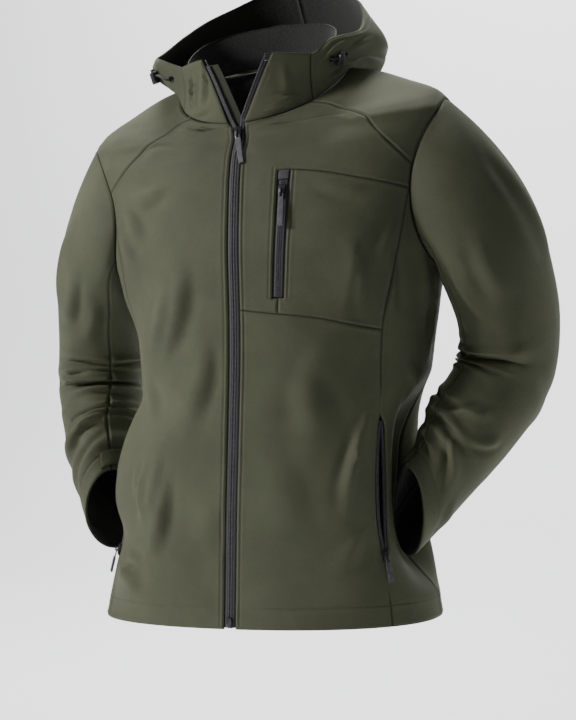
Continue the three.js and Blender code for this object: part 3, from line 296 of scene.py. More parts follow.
def torso(angle, level):
    angle, level = np.broadcast_arrays(np.asarray(angle, float), np.asarray(level, float))
    sin, cos = np.sin(rad(angle)), np.cos(rad(angle))
    share = (1 + cos) / 2
    size = {name: body["sections"].read(name, level) for name in body["sections"].values}
    power = size["power"]
    reach = (np.abs(sin) ** power + np.abs(cos) ** power) ** (-1 / power)
    x = reach * size["half"] * sin
    y = -reach * (size["front"] * share + size["back"] * (1 - share)) * cos
    signed = np.where(angle > 180, angle - 360, angle)
    for side, middle, width, low, high, part in body["dents"]:
        place = (level - low) / (high - low)
        near = np.exp(-((signed * side - middle) / width) ** 2)
        press = part * near * smooth(4 * place * (1 - place))
        x = x * (1 - press)
        y = y * (1 - press / 2)
    around = np.where(angle < -90, angle + 360, angle)
    fold = ridges(body["folds"], around, level, bodyPerDegree)
    x, y = x + fold * sin, y - fold * cos
    backward = 1 - 0.45 * smooth((y + 15) / 60)
    z = size["height"] + x * np.tan(rad(size["roll"])) + y * backward * np.tan(rad(size["pitch"]))
    return np.stack([x + size["across"], y + size["deep"], z], -1)


def torsoRelief(angle, level):
    # The creases, and low waves that fade out towards the neck.
    around = np.where(angle < -90, angle + 360, angle)
    waves = 0.5 * np.sin(rad(around * 5.3 + level * 0.9)) * np.sin(level / 47 + rad(around * 2.1))
    waves += 0.25 * np.sin(rad(around * 13 - level * 1.7)) * np.sin(level / 19)
    calm = smooth((neckLevel - level) / 90)
    return creaseStrength["body"] * creased(body["creases"], around, level, bodyPerDegree) + waves * calm


def armholePlace(name, turn):
    arm = armholes[name]
    turn = np.asarray(turn, float)
    sin, cos = np.sin(rad(turn)), np.cos(rad(turn))
    half = np.where(cos > 0, 90 - arm["front"], arm["back"] - 90)
    level = (arm["top"] + arm["bottom"]) / 2 + (arm["top"] - arm["bottom"]) / 2 * sin
    return np.stack([arm["side"] * (90 - half * cos), level], -1)


# The sleeves, as rings from the sleeve head down to the cuff

sleeves = {
    "left": {
        "rings": [  # outward, back, height, front, top, under
            [278, 25, -200, 70, 74, 55],
            [294, 46, -268, 65, 63, 55],
            [292, 51, -325, 61, 57, 56],
            [264, 28, -382, 60, 54, 54],
            [230, 2, -440, 54, 44, 44],
            [198, -20, -490, 46, 36, 34],
        ],
        "leave": (0.8, 0.3, -0.6),  # out of the armhole: outward, to its own side, up
        "tilt": 40,  # of the cuff's rim, along the sleeve
        "tiltFrom": 55,  # the turn where that tilt is nothing
        "folds": [  # turn, along to turn, along, width, height
            (215, 205, 330, 214, 10, 6),
            (225, 238, 350, 226, 10, 5),
            (260, 268, 30, 262, 11, 4),
            (300, 320, 60, 350, 13, 4),
            (20, 60, 35, 130, 16, 3),
        ],
        "creases": [  # turn, along to turn, along, bow, width, height
            (216, 198, 322, 206, 4, 6, 2.6),
            (222, 220, 338, 222, -4, 5, 3.0),
            (232, 244, 352, 236, 4, 5.5, 2.6),
            (250, 262, 12, 258, -5, 6, 2.2),
            (262, 286, 24, 300, 5, 6, 2.0),
            (282, 318, 44, 340, 6, 7, 2.2),
            (300, 352, 52, 372, 4, 6, 1.8),
            (232, 300, 292, 330, 3, 6, 1.6),
            (18, 66, 32, 132, 6, 10, 2.0),
            (48, 40, 58, 120, -5, 11, 1.6),
            (340, 70, 356, 150, 6, 9, 1.8),
            (318, 110, 332, 172, -4, 8, 1.8),
            (80, 30, 96, 110, 7, 12, 1.4),
            (128, 60, 150, 140, -7, 12, 1.8),
            (170, 90, 196, 160, 6, 10, 1.8),
            (150, 210, 206, 250, 8, 10, 1.6),
            (96, 250, 150, 290, -8, 13, 1.4),
            (110, 330, 170, 350, 6, 10, 1.5),
            (60, 380, 110, 392, 4, 8, 1.4),
            (10, 200, 60, 214, 5, 11, 1.3),
            (22, 336, 60, 305, 3, 6, 3.0),
            (-22, 326, 30, 290, -3, 6, 3.0),
            (-60, 366, 0, 394, 4, 6, 2.8),
            (0, 346, 57, 390, 5, 9, 3.0),
            (-50, 190, 40, 196, 4, 8, 3.0),
        ],
        "pinches": [  # the same, with a depth at the end
            (-84, 207, 64, 212, 4, 7, 8.5),
            (-74, 190, 4, 198, -4, 5, 2.6),
            (-70, 231, 14, 224, 3, 5, 3.2),
            (-40, 246, 30, 238, -3, 5, 2.0),
            (-78, 262, -8, 252, 3, 5, 2.6),
            (-70, 296, 20, 326, 5, 6, 2.8),
            (-58, 326, 34, 348, 5, 6, 2.4),
            (-40, 356, 40, 374, 4, 5, 2.0),
            (60, 230, 110, 240, 4, 6, 1.8),
            (150, 214, 205, 222, 4, 6, 2.2),
        ],
    },
    "right": {
        "rings": [
            [234, 28, -238, 66, 58, 56],
            [252, 50, -305, 60, 54, 54],
            [254, 52, -360, 58, 54, 54],
            [241, 36, -415, 56, 50, 50],
            [219, 11, -465, 52, 43, 43],
            [200, -8, -512, 46, 36, 34],
        ],
        "leave": (0.5, 0.25, -0.85),
        "tilt": 38,
        "tiltFrom": 35,
        "folds": [
            (220, 190, 20, 196, 10, 5),
            (250, 222, 60, 214, 10, 6),
            (230, 250, 30, 262, 10, 4),
            (320, 300, 80, 330, 12, 4),
            (10, 60, 25, 130, 16, 3),
        ],
        "creases": [
            (222, 184, 352, 190, 4, 6, 2.4),
            (240, 204, 24, 204, -4, 5, 3.0),
            (250, 226, 56, 216, 5, 5.5, 2.8),
            (238, 246, 20, 252, -4, 6, 2.4),
            (262, 270, 40, 284, 5, 6, 2.2),
            (292, 300, 66, 322, 6, 7, 2.2),
            (318, 336, 84, 352, 4, 7, 1.8),
            (228, 296, 290, 322, 3, 6, 1.6),
            (8, 62, 24, 130, 6, 10, 2.0),
            (38, 40, 50, 116, -5, 11, 1.6),
            (334, 80, 350, 150, 6, 9, 1.8),
            (78, 40, 92, 118, 7, 12, 1.4),
            (126, 60, 150, 140, -7, 12, 1.8),
            (168, 90, 194, 156, 6, 10, 1.8),
            (150, 200, 206, 240, 8, 10, 1.6),
            (96, 240, 150, 282, -8, 13, 1.4),
            (112, 320, 170, 340, 6, 10, 1.5),
            (70, 372, 120, 382, 4, 8, 1.4),
        ],
        "pinches": [
            (-104, 196, 42, 190, 3, 6, 7.5),
            (-92, 214, 12, 203, -3, 5, 4.6),
            (-22, 204, 62, 222, 3, 5, 5.0),
            (-72, 231, 20, 243, -4, 5, 3.0),
            (-30, 237, 52, 226, 3, 4.5, 2.8),
            (-92, 262, -8, 250, 3, 5, 3.0),
            (-12, 268, 60, 256, -3, 5, 2.8),
            (-60, 291, 12, 276, 3, 5, 2.6),
            (0, 301, 56, 284, -3, 5, 2.2),
            (-44, 334, 24, 306, 3, 5, 2.0),
            (-8, 350, 40, 326, -3, 5, 1.8),
            (76, 206, 126, 214, 4, 6, 2.2),
            (150, 200, 210, 210, 4, 6, 2.2),
        ],
    },
}
headSpan = 100  # along the sleeve, from the armhole to the first ring
for form in sleeves.values():
    rings = np.array(form["rings"], float)
    form["middles"], form["sizes"] = rings[:, :3], rings[:, 3:]
    form["stops"] = lineStops(form["middles"])
    form["length"] = form["stops"][-1]
    form["middleSlopes"] = lineSlopes(form["stops"], form["middles"])
    form["sizeSlopes"] = lineSlopes(form["stops"], form["sizes"])


def sleeveRing(name, turn, along):
    form = sleeves[name]
    centre = onLine(form["stops"], form["middles"], form["middleSlopes"], along)
    ahead = onLine(form["stops"], form["middles"], form["middleSlopes"], along + 1)
    behind = onLine(form["stops"], form["middles"], form["middleSlopes"], along - 1)
    way = unit(ahead - behind)
    front, top, under = np.moveaxis(onLine(form["stops"], form["sizes"], form["sizeSlopes"], along), -1, 0)
    forward = np.array([0.0, -1.0, 0.0])
    face = unit(forward - way * (way @ forward)[..., None])
    outer = np.cross(face, way)
    sin, cos = np.sin(rad(turn)), np.cos(rad(turn))
    late = smooth((along - (form["length"] - 160)) / 160)
    tilt = form["tilt"] * late * np.sin(rad(turn - form["tiltFrom"]))
    radial = face * (front * cos)[..., None] + outer * (np.where(sin > 0, top, under) * sin)[..., None]
    fold = ridges(form["folds"], turn, along, sleevePerDegree, True)
    grown = (1 + fold / np.linalg.norm(radial, axis=-1))[..., None]
    return centre + radial * grown + way * tilt[..., None]


def sleeve(name):
    side = armholes[name]["side"]
    outward, forward, down = sleeves[name]["leave"]

    def surface(turn, along):
        turn, along = np.broadcast_arrays(np.asarray(turn, float), np.asarray(along, float))
        past = sleeveRing(name, turn, np.maximum(along - headSpan, 0))
        seam = armholePlace(name, turn)
        start = torso(seam[..., 0], seam[..., 1]) * np.array([side, 1, 1])
        end = sleeveRing(name, turn, np.zeros_like(turn))
        ahead = sleeveRing(name, turn, np.full_like(turn, 4.0))
        reach = np.linalg.norm(end - start, axis=-1, keepdims=True)
        leave = np.stack([np.full_like(turn, outward), -forward * np.cos(rad(turn)),
                          np.full_like(turn, down)], -1)
        t = (along / headSpan)[..., None]
        head = easedBetween(start, end, unit(leave) * reach, unit(ahead - end) * reach, 1, t)
        return np.where((along >= headSpan)[..., None], past, head) * np.array([side, 1, 1])

    return surface


def sleeveRelief(name):
    form = sleeves[name]

    def relief(turn, along):
        waves = 0.45 * np.sin(rad(turn * 3 + along * 1.3)) * np.sin(along / 31)
        height = creaseStrength["sleeve"] * creased(form["creases"], turn, along, sleevePerDegree, True)
        return height + pinched(form["pinches"], turn, along, sleevePerDegree, True) + waves

    return relief


# The collar and the hood

collarHeights = Sections("angle height", [
    [0, 41], [20, 41], [55, 38], [75, 47], [95, 60], [115, 72], [140, 82], [180, 88],
])
hoodSections = Sections("angle out1 up1 out2 up2 out3 up3 out4 up4", [
    [55, 95, 6, 97, 18, 99, 29, 100, 38],
    [75, 106, 12, 116, 27, 120, 42, 114, 53],
    [95, 114, 25, 134, 34, 140, 52, 133, 64],
    [115, 122, 44, 157, 32, 159, 58, 132, 91],
    [128, 121, 36, 158, 22, 161, 58, 132, 108],
    [140, 121, 18, 160, 6, 164, 56, 132, 120],
    [160, 116, -8, 156, -20, 166, 56, 124, 137],
    [180, 112, -16, 152, -30, 168, 56, 118, 146],
    [200, 116, -8, 156, -20, 166, 56, 124, 137],
])
collarRim = {"half": 104, "front": 85, "back": 62, "tilt": 3.6, "lean": 3}
hoodSeamAngle = 55
innerCollarFrom = 53
hoodAngles = [55, 62, 70, 80, 92, 104, 116, 128, 140, 148, 156, 164, 172, 180]


def collar(angle, up):
    angle, up = np.broadcast_arrays(np.asarray(angle, float), np.asarray(up, float) / 100)
    base = torso(angle, np.full_like(angle, neckLevel))
    sin, cos = np.sin(rad(angle)), np.cos(rad(angle))
    share = (1 + cos) / 2
    around = np.where(angle > 180, 360 - angle, np.abs(angle))
    x = collarRim["half"] * sin
    y = -(collarRim["front"] * share + collarRim["back"] * (1 - share)) * cos
    rise = x * math.tan(math.radians(collarRim["tilt"]))
    rim = np.stack([x, y, collarHeights.read("height", around) + rise], -1)
    lean = -collarRim["lean"] * np.sin(np.pi * np.clip(up, 0, 1))
    return base + (rim - base) * up[..., None] + np.stack([lean * sin, -lean * cos, 0 * lean], -1)


def innerCollar(angle, up):
    # Inside the collar by 2 mm at its sewn ends, and elsewhere by 3 mm at the neck to 9 mm higher up.
    angle, up = np.broadcast_arrays(np.asarray(angle, float), np.asarray(up, float))
    fromEnd = np.minimum(angle - innerCollarFrom, 360 - innerCollarFrom - angle)
    sewn = 1 - smooth((fromEnd - 3) / 12)
    inset = 2 * sewn + (3 + 6 * smooth(up / 35)) * (1 - sewn)
    sin, cos = np.sin(rad(angle)), np.cos(rad(angle))
    return collar(angle, up) + np.stack([-inset * sin, inset * cos, 0 * inset], -1)


def hood(angle, over):
    angle, over = np.broadcast_arrays(np.asarray(angle, float), np.asarray(over, float) / 100)
    base = torso(angle, np.full_like(angle, neckLevel))
    start = np.hypot(base[..., 0], base[..., 1])
    around = np.abs(np.degrees(np.arctan2(base[..., 0], -base[..., 1])))
    turn = smooth((around - 50) / 28)
    out = [start] + [hoodSections.read(f"out{i}", around) for i in (1, 2, 3, 4)]
    up = [base[..., 2] + 0.9 * turn] + [hoodSections.read(f"up{i}", around) for i in (1, 2, 3, 4)]
    stops = np.array([0, 0.25, 0.5, 0.75, 1])
    path = np.stack([np.stack(out), np.stack(up)], -1)
    slopes = lineSlopes(stops, path.reshape(5, -1)).reshape(path.shape)
    i = np.searchsorted(stops[1:-1], over)
    picked = np.indices(over.shape)
    here = (i, *picked)
    there = (i + 1, *picked)
    t = ((over - stops[i]) / 0.25)[..., None]
    profile = easedBetween(path[here], path[there], slopes[here], slopes[there], 0.25, t)
    reach, rise = profile[..., 0], profile[..., 1]
    on = smooth((over - 0.05) / 0.5)
    x = reach * base[..., 0] / start
    y = reach * base[..., 1] / start
    z = rise + smooth(over / 0.3) * x * np.tan(rad(collarRim["tilt"] + 0.9 * turn))
    free = np.stack([x - 12 * on * turn, y, z], -1)
    join = smooth((np.abs(angle) - hoodSeamAngle) / 16)[..., None]
    return collar(angle, over * 100) * (1 - join) + free * join


hoodCreases = [  # angle, over to angle, over, bow, width, height, in hundredths of the hood's way
    (70, 14, 104, 22, 4, 6, 3.0),
    (80, 34, 128, 30, -5, 7, 2.6),
    (96, 8, 140, 12, 4, 6, 2.6),
    (112, 46, 160, 40, 5, 8, 2.4),
    (140, 24, 176, 30, 3, 7, 2.4),
    (120, 66, 168, 72, -4, 7, 2.0),
    (84, 58, 108, 70, 3, 6, 1.8),
    (150, 52, 178, 58, 2, 7, 1.8),
    (64, 60, 84, 80, 2, 5, 1.4),
]
collarCreases = [  # angle, up to angle, up, bow, width, height
    (-24, 92, -30, 22, 3, 4, 1.5),
    (-33, 78, -37, 8, -3, 4, 1.7),
    (-42, 88, -45, 12, 2, 4, 1.5),
    (-18, 30, -38, 10, 3, 4, 1.3),
    (26, 26, 46, 8, 3, 5, 1.3),
    (34, 84, 37, 22, 2, 6, 1.0),
    (20, 16, 34, 6, -2, 4, 1.0),
]


def hoodRelief(angle, over):
    around = np.abs(angle)
    sided = np.where(angle > 0, 3.0, 0.0)
    joined = smooth((around - hoodSeamAngle) / 10) * smooth(over / 10)
    return creaseStrength["hood"] * creased(hoodCreases, around + sided, over, 1.9) * joined


def collarRelief(angle, up):
    return creaseStrength["collar"] * creased(collarCreases, angle, up, 1.8)


def flatRelief(p, q):
    return np.zeros(np.broadcast(p, q).shape)


print("forms ready")


# Seams as lines of places, and panels as patches between them

frontZipHalfWidth = 7.4
chestZip = {"angle": 15.9, "half": 1.95, "bottom": 379, "top": 522, "stitchBeside": 1.3}
pocketBottom, pocketTop = 78, 245
pocketLevels = [0, 26, 78, 84, 105, 140, 175, 210, 238, 245, 280, 310, 338]
highLevels = [338, 360, 382, 404, 426, 448, 470]
princess = {
    "left": Sections("level angle", [
        [0, 56.5], [78, 57.5], [245, 57.2], [338, 54.8], [406, 57], [475, 59.2], [715, 60],
    ]),
    "right": Sections("level angle", [
        [0, 61], [78, 62.5], [245, 62.2], [338, 57], [406, 53.5], [475, 51.8], [715, 51],
    ]),
}
sideBack = Sections("level angle", [
    [0, 96], [60, 99], [130, 104], [240, 108], [340, 110], [446, 108], [715, 108],
])
yokePlaces = {
    "left": [(52, 715), (49.5, 685), (43, 640), (40.5, 600), (42.5, 565), (49.8, 541)],
    "right": [(40, 715), (37.5, 685), (32.5, 635), (31.5, 600), (35.5, 566), (42, 546)],
    "back": [(140, 715), (140, 680), (141, 640), (140, 600), (136, 566), (126, 541)],
}


def angleOf(width, level):
    return width / rad(body["sections"].read("half", level))


def zipSpread(level):
    return 2.6 * smooth((np.asarray(level, float) - 600) / 115)


def zipEdgeAngle(level):
    return angleOf(frontZipHalfWidth + zipSpread(level), level)


def seamLine(*parts):
    # Each part is a smooth line of places; two parts meet at a corner.
    line = []
    for part in parts:
        points = np.array(part, float)
        stops = lineStops(points, bodyPerDegree)
        line.append((stops, points, lineSlopes(stops, points)))
    return line


def cellsOf(line):
    return sum(len(points) - 1 for _, points, _ in line)


def lengthsOf(line):
    return np.concatenate([np.diff(stops) for stops, _, _ in line])


def onSeam(line, at):
    at = np.asarray(at, float)
    result = np.zeros((len(at), 2))
    done = 0
    for stops, points, slopes in line:
        count = len(points) - 1
        here = (at >= done - 1e-9) & (at <= done + count + 1e-9)
        local = np.clip(at[here] - done, 0, count)
        cell = np.minimum(local.astype(int), count - 1)
        along = stops[cell] + (local - cell) * (stops[cell + 1] - stops[cell])
        result[here] = onLine(stops, points, slopes, along)
        done += count
    return result


def turned(line):
    parts = []
    for _, points, _ in reversed(line):
        parts.append(points[::-1])
    return seamLine(*parts)


def after(first, *others):
    return [part for line in (first, *others) for part in line]


def resampled(places, cells):
    points = np.array(places, float)
    stops = lineStops(points, bodyPerDegree)
    return onLine(stops, points, lineSlopes(stops, points), np.linspace(0, stops[-1], cells + 1))


edgeBand = 30  # beside a seam, where a panel's mesh is finer
nearEdge = [0, 0.02, 0.05, 0.085, 0.12, 0.15, 0.175, 0.2, 0.23, 0.27, 0.33, 0.42, 0.53, 0.65, 0.77, 0.89]


def finePlaces(one, other, spacing, extra=()):
    # Places along two facing edges, closer together beside the seams at both ends.
    lengths = np.maximum(lengthsOf(one), lengthsOf(other))
    places = []
    for i, length in enumerate(lengths):
        if i == 0:
            scale = min(1, edgeBand / length)
            places += [i + step * scale for step in nearEdge]
            if scale < 1:
                rest = max(1, round((length - edgeBand) / spacing))
                places += list(i + scale + (1 - scale) * np.arange(rest) / rest)
        elif i == len(lengths) - 1:
            scale = min(1, edgeBand / length)
            if scale < 1:
                rest = max(1, round((length - edgeBand) / spacing))
                places += list(i + (1 - scale) * np.arange(rest) / rest)
            places += [i + 1 - step * scale for step in reversed(nearEdge[1:])]
            places += [] if scale < 1 else [i]
        else:
            count = max(1, round(length / spacing))
            places += list(i + np.arange(count) / count)
    return np.array(sorted({round(float(value), 5) for value in [*places, *extra, len(lengths)]}))


def patch(bottom, top, left, right, spacing=3.7, u=None, extraV=()):
    # A grid of places filled in between four seams.
    u = finePlaces(bottom, top, spacing) if u is None else u
    v = finePlaces(left, right, spacing, extraV)
    low, high = onSeam(bottom, u), onSeam(top, u)
    near, far = onSeam(left, v), onSeam(right, v)
    a, b = (u / cellsOf(bottom))[None, :, None], (v / cellsOf(left))[:, None, None]
    filled = (1 - b) * low[None] + b * high[None] + (1 - a) * near[:, None] + a * far[:, None]
    filled -= (1 - a) * (1 - b) * low[0] + a * (1 - b) * low[-1] + (1 - a) * b * high[0] + a * b * high[-1]
    return filled


def sidedPatch(side, bottom, top, near, far, **more):
    if side > 0:
        return patch(bottom, top, near, far, **more)
    return patch(turned(bottom), turned(top), far, near, **more)


def armSeams(name):
    side = armholes[name]["side"]
    meetTurn, yokeTurn = (-6, 10) if name == "left" else (-10, 14)
    meet = armholePlace(name, meetTurn)

    def bulge(level):
        place = (np.asarray(level, float) - pocketBottom) / (pocketTop - pocketBottom)
        return np.sin(np.pi * np.clip(place, 0, 1)) ** 0.5

    def frontEdge(level):
        return side * (princess[name].read("angle", level) - 1.5 * bulge(level))

    def sideEdge(level):
        return side * (princess[name].read("angle", level) + 5.5 * bulge(level))

    def placed(edge, levels):
        return [(float(edge(level)), level) for level in levels]

    def arc(first, last, cells):
        return seamLine(armholePlace(name, np.linspace(first, last, cells + 1)))

    backLevels = [*pocketLevels, 355, 372, 389, 406, 419, 432]
    back = [(side * float(sideBack.read("angle", level)), level) for level in backLevels]
    frontYoke = [(side * angle, level) for angle, level in yokePlaces[name]] + [armholePlace(name, yokeTurn)]
    backYoke = [(side * angle, level) for angle, level in yokePlaces["back"]] + [armholePlace(name, 170)]
    yokeStart = yokePlaces[name][0][0]
    frontNeck = np.linspace(float(zipEdgeAngle(neckLevel)), yokeStart, 12 if name == "left" else 8)
    yokeNeck = [yokeStart, *([] if name == "left" else [47.5]), *hoodAngles[:9]]
    arcs = len(yokeNeck) - 1
    bands = [(-145, meetTurn, 8), (meetTurn, yokeTurn, 4), (yokeTurn, 170, arcs), (170, 215, 3)]
    turns = [-145.0]
    for first, last, cells in bands:
        turns += list(np.linspace(first, last, cells + 1)[1:])
    return {
        "side": side, "meet": meet, "frontEdge": frontEdge, "sideEdge": sideEdge,
        "lowFront": seamLine(placed(frontEdge, pocketLevels)),
        "lowSide": seamLine(placed(sideEdge, pocketLevels)),
        "high": seamLine(placed(frontEdge, highLevels) + [meet]),
        "sideBack": seamLine(back + [armholePlace(name, 215)]),
        "frontArc": arc(meetTurn, yokeTurn, 4),
        "yokeArc": arc(yokeTurn, 170, arcs),
        "backArc": arc(215, 170, 3),
        "underArc": arc(meetTurn, -145, 8),
        "turns": turns,
        "frontNeck": frontNeck, "yokeNeck": yokeNeck,
        "frontYoke": seamLine(resampled(frontYoke, 6)),
        "backYoke": seamLine(resampled(backYoke, 6)),
    }


seams = {name: armSeams(name) for name in ("left", "right")}


def neckLine(side, angles):
    return seamLine([(side * angle, neckLevel) for angle in angles])


def hemLine(first, last, cells):
    return seamLine([(angle, 0) for angle in np.linspace(first, last, cells + 1)])


# Shader building

class Wire:
    # A socket in a material. Expressions on it add Math nodes.
    def __init__(self, tree, socket=None):
        self.tree, self.socket = tree, socket

    def node(self, kind, settings=None, sockets=None, output=0):
        made = self.tree.nodes.new(kind)
        for name, value in (settings or {}).items():
            setattr(made, name, value)
        for name, value in (sockets or {}).items():
            if isinstance(value, Wire):
                self.tree.links.new(value.socket, made.inputs[name])
            else:
                made.inputs[name].default_value = value
        return Wire(self.tree, made.outputs[output])

    def maths(self, operation, first, second=0.0):
        return self.node("ShaderNodeMath", {"operation": operation}, {0: first, 1: second})

    def __add__(self, other):
        return self.maths("ADD", self, other)

    def __radd__(self, other):
        return self.maths("ADD", other, self)

    def __sub__(self, other):
        return self.maths("SUBTRACT", self, other)

    def __rsub__(self, other):
        return self.maths("SUBTRACT", other, self)

    def __mul__(self, other):
        return self.maths("MULTIPLY", self, other)

    def __rmul__(self, other):
        return self.maths("MULTIPLY", other, self)

    def scaled(self, vector, factors):
        return self.node("ShaderNodeVectorMath", {"operation": "MULTIPLY"}, {0: vector, 1: factors})

    def blended(self, factor, first, second):
        return self.node("ShaderNodeMix", {"data_type": "RGBA"}, {0: factor, 6: first, 7: second}, 2)

    def noise(self, vector, scale, detail, rough):
        return self.node("ShaderNodeTexNoise", {}, {"Vector": vector, "Scale": scale, "Detail": detail,
                                                    "Roughness": rough})

    def stepped(self, value, low, high):
        return self.node("ShaderNodeMapRange", {"interpolation_type": "SMOOTHSTEP"},
                         {"Value": value, "From Min": low, "From Max": high, "To Min": 0.0, "To Max": 1.0})

    def bump(self, height, strength, distance):
        return self.node("ShaderNodeBump", {}, {"Height": height, "Strength": strength, "Distance": distance})


def startMaterial(name):
    material = bpy.data.materials.new(name)
    material.use_nodes = True
    material.node_tree.nodes.clear()
    return material, Wire(material.node_tree)


def finishMaterial(material, wire, sockets):
    surface = wire.node("ShaderNodeBsdfPrincipled", {}, sockets)
    output = wire.tree.nodes.new("ShaderNodeOutputMaterial")
    wire.tree.links.new(surface.socket, output.inputs["Surface"])
    return material


softshellFinish = {
    "lit": (0.090, 0.097, 0.056, 1),
    "dark": (0.062, 0.067, 0.038, 1),
    # seam: painted shade, a near-black olive laid along every panel's edges and seams
    "seam": (0.030, 0.033, 0.020, 1),
    "rough": 0.78,
    "sheen": 0.03,
    "weave": 1500.0,
}


def softshellMaterial():
    finish = softshellFinish
    material, wire = startMaterial("softshell_face")
    place = wire.node("ShaderNodeTexCoord", output="Object")
    broad = wire.noise(place, 9.0, 4.0, 0.6)
    fine = wire.noise(wire.scaled(place, (1, 1, 0.45)), finish["weave"], 2.0, 0.7)
    pile = wire.noise(place, 420.0, 3.0, 0.6)
    tone = wire.stepped(broad * 0.6 + fine * 0.25 + pile * 0.15, 0.36, 0.62)
    colour = wire.blended(tone, finish["dark"], finish["lit"])
    # Painted shade in the seams: within 1.6 mm of each panel's edge, and on its cut edges, the colour runs
    # down to the near-black seam colour
    seamDistance = wire.node("ShaderNodeAttribute", {"attribute_name": "seamDistance"}, output="Fac")
    away = wire.stepped(seamDistance, 0.0, 1.6)
    colour = wire.blended(away, finish["seam"], colour)
    rough = finish["rough"] + (fine - 0.5) * 0.14 + (broad - 0.5) * 0.08
    height = fine * 0.6 + pile * 0.4
    normal = wire.bump(height, 0.35, 0.0004)
    return finishMaterial(material, wire, {
        "Base Color": colour, "Roughness": rough, "Normal": normal, "Specular IOR Level": 0.32,
        "Sheen Weight": finish["sheen"], "Sheen Roughness": 0.45, "Sheen Tint": (0.75, 0.78, 0.66, 1),
    })


def fleeceMaterial():
    material, wire = startMaterial("fleece_back")
    place = wire.node("ShaderNodeTexCoord", output="Object")
    tufts = wire.noise(place, 380.0, 4.0, 0.7)
    broad = wire.noise(place, 22.0, 2.0, 0.5)
    colour = wire.blended(wire.stepped(tufts * 0.7 + broad * 0.3, 0.35, 0.65),
                          (0.008, 0.009, 0.008, 1), (0.022, 0.023, 0.020, 1))
    normal = wire.bump(tufts, 0.8, 0.0012)
    return finishMaterial(material, wire, {
        "Base Color": colour, "Roughness": 0.92 + (tufts - 0.5) * 0.1, "Normal": normal,
        "Sheen Weight": 0.25, "Sheen Roughness": 0.6, "Specular IOR Level": 0.2,
    })


def tapeMaterial():
    material, wire = startMaterial("zip_tape_weave")
    cut = wire.node("ShaderNodeUVMap", {"uv_map": "cut"})
    parts = wire.node("ShaderNodeSeparateXYZ", {}, {"Vector": cut})
    along = Wire(wire.tree, parts.socket.node.outputs["Y"])
    ribs = wire.maths("SINE", along * 4200.0) * 0.5 + 0.5
    place = wire.node("ShaderNodeTexCoord", output="Object")
    fuzz = wire.noise(place, 900.0, 2.0, 0.6)
    colour = wire.blended(wire.stepped(fuzz * 0.6 + ribs * 0.4, 0.25, 0.75),
                          (0.030, 0.028, 0.033, 1), (0.068, 0.064, 0.074, 1))
    normal = wire.bump(ribs * 0.6 + fuzz * 0.4, 0.6, 0.0003)
    return finishMaterial(material, wire, {
        "Base Color": colour, "Roughness": 0.6 + (fuzz - 0.5) * 0.15, "Normal": normal,
        "Specular IOR Level": 0.4,
    })


def nylonMaterial(name, dark, light, rough):
    material, wire = startMaterial(name)
    place = wire.node("ShaderNodeTexCoord", output="Object")
    grain = wire.noise(place, 700.0, 3.0, 0.6)
    scuffs = wire.noise(place, 160.0, 4.0, 0.65)
    colour = wire.blended(wire.stepped(scuffs, 0.38, 0.66), dark, light)
    return finishMaterial(material, wire, {
        "Base Color": colour, "Roughness": rough + (grain - 0.5) * 0.2,
        "Normal": wire.bump(grain, 0.25, 0.00015), "Specular IOR Level": 0.45,
    })


def metalMaterial():
    material, wire = startMaterial("gunmetal")
    place = wire.node("ShaderNodeTexCoord", output="Object")
    grain = wire.noise(place, 900.0, 3.0, 0.6)
    wear = wire.stepped(wire.noise(place, 210.0, 5.0, 0.7), 0.5, 0.72)
    colour = wire.blended(wear, (0.050, 0.050, 0.054, 1), (0.16, 0.16, 0.165, 1))
    return finishMaterial(material, wire, {
        "Base Color": colour, "Metallic": 0.85 + wear * 0.1, "Roughness": 0.34 + (grain - 0.5) * 0.18,
        "Normal": wire.bump(grain, 0.15, 0.0001),
    })


def cordMaterial():
    material, wire = startMaterial("braided_cord")
    place = wire.node("ShaderNodeTexCoord", output="Object")
    braid = wire.node("ShaderNodeTexVoronoi", {"feature": "F1"}, {"Vector": place, "Scale": 1100.0})
    colour = wire.blended(wire.stepped(braid, 0.15, 0.7), (0.030, 0.030, 0.032, 1), (0.010, 0.010, 0.011, 1))
    return finishMaterial(material, wire, {
        "Base Color": colour, "Roughness": 0.62 + (braid - 0.5) * 0.1,
        "Normal": wire.bump(1 - braid, 0.7, 0.0003),
    })


def meshLiningMaterial():
    material, wire = startMaterial("pocket_lining")
    place = wire.node("ShaderNodeTexCoord", output="Object")
    holes = wire.node("ShaderNodeTexVoronoi", {"feature": "F1"}, {"Vector": place, "Scale": 620.0})
    colour = wire.blended(wire.stepped(holes, 0.1, 0.55), (0.004, 0.004, 0.004, 1), (0.018, 0.018, 0.017, 1))
    return finishMaterial(material, wire, {
        "Base Color": colour, "Roughness": 0.85 + (holes - 0.5) * 0.1,
        "Normal": wire.bump(holes, 0.6, 0.0005),
    })


def threadMaterial():
    material, wire = startMaterial("olive_thread")
    place = wire.node("ShaderNodeTexCoord", output="Object")
    twist = wire.noise(place, 2200.0, 2.0, 0.6)
    colour = wire.blended(twist, (0.060, 0.066, 0.038, 1), (0.105, 0.112, 0.068, 1))
    return finishMaterial(material, wire, {
        "Base Color": colour, "Roughness": 0.6 + (twist - 0.5) * 0.2, "Normal": wire.bump(twist, 0.4, 0.0001),
    })


softshell = softshellMaterial()
fleece = fleeceMaterial()
zipTape = tapeMaterial()
coilNylon = nylonMaterial("zip_coil", (0.020, 0.019, 0.022, 1), (0.045, 0.043, 0.049, 1), 0.42)
gripRubber = nylonMaterial("pull_grip_rubber", (0.062, 0.058, 0.066, 1), (0.098, 0.094, 0.104, 1), 0.55)
lockPlastic = nylonMaterial("cord_lock_plastic", (0.012, 0.012, 0.013, 1), (0.028, 0.028, 0.030, 1), 0.38)
gunmetal = metalMaterial()
braid = cordMaterial()
lining = meshLiningMaterial()
thread = threadMaterial()
print("materials ready")


# Meshes

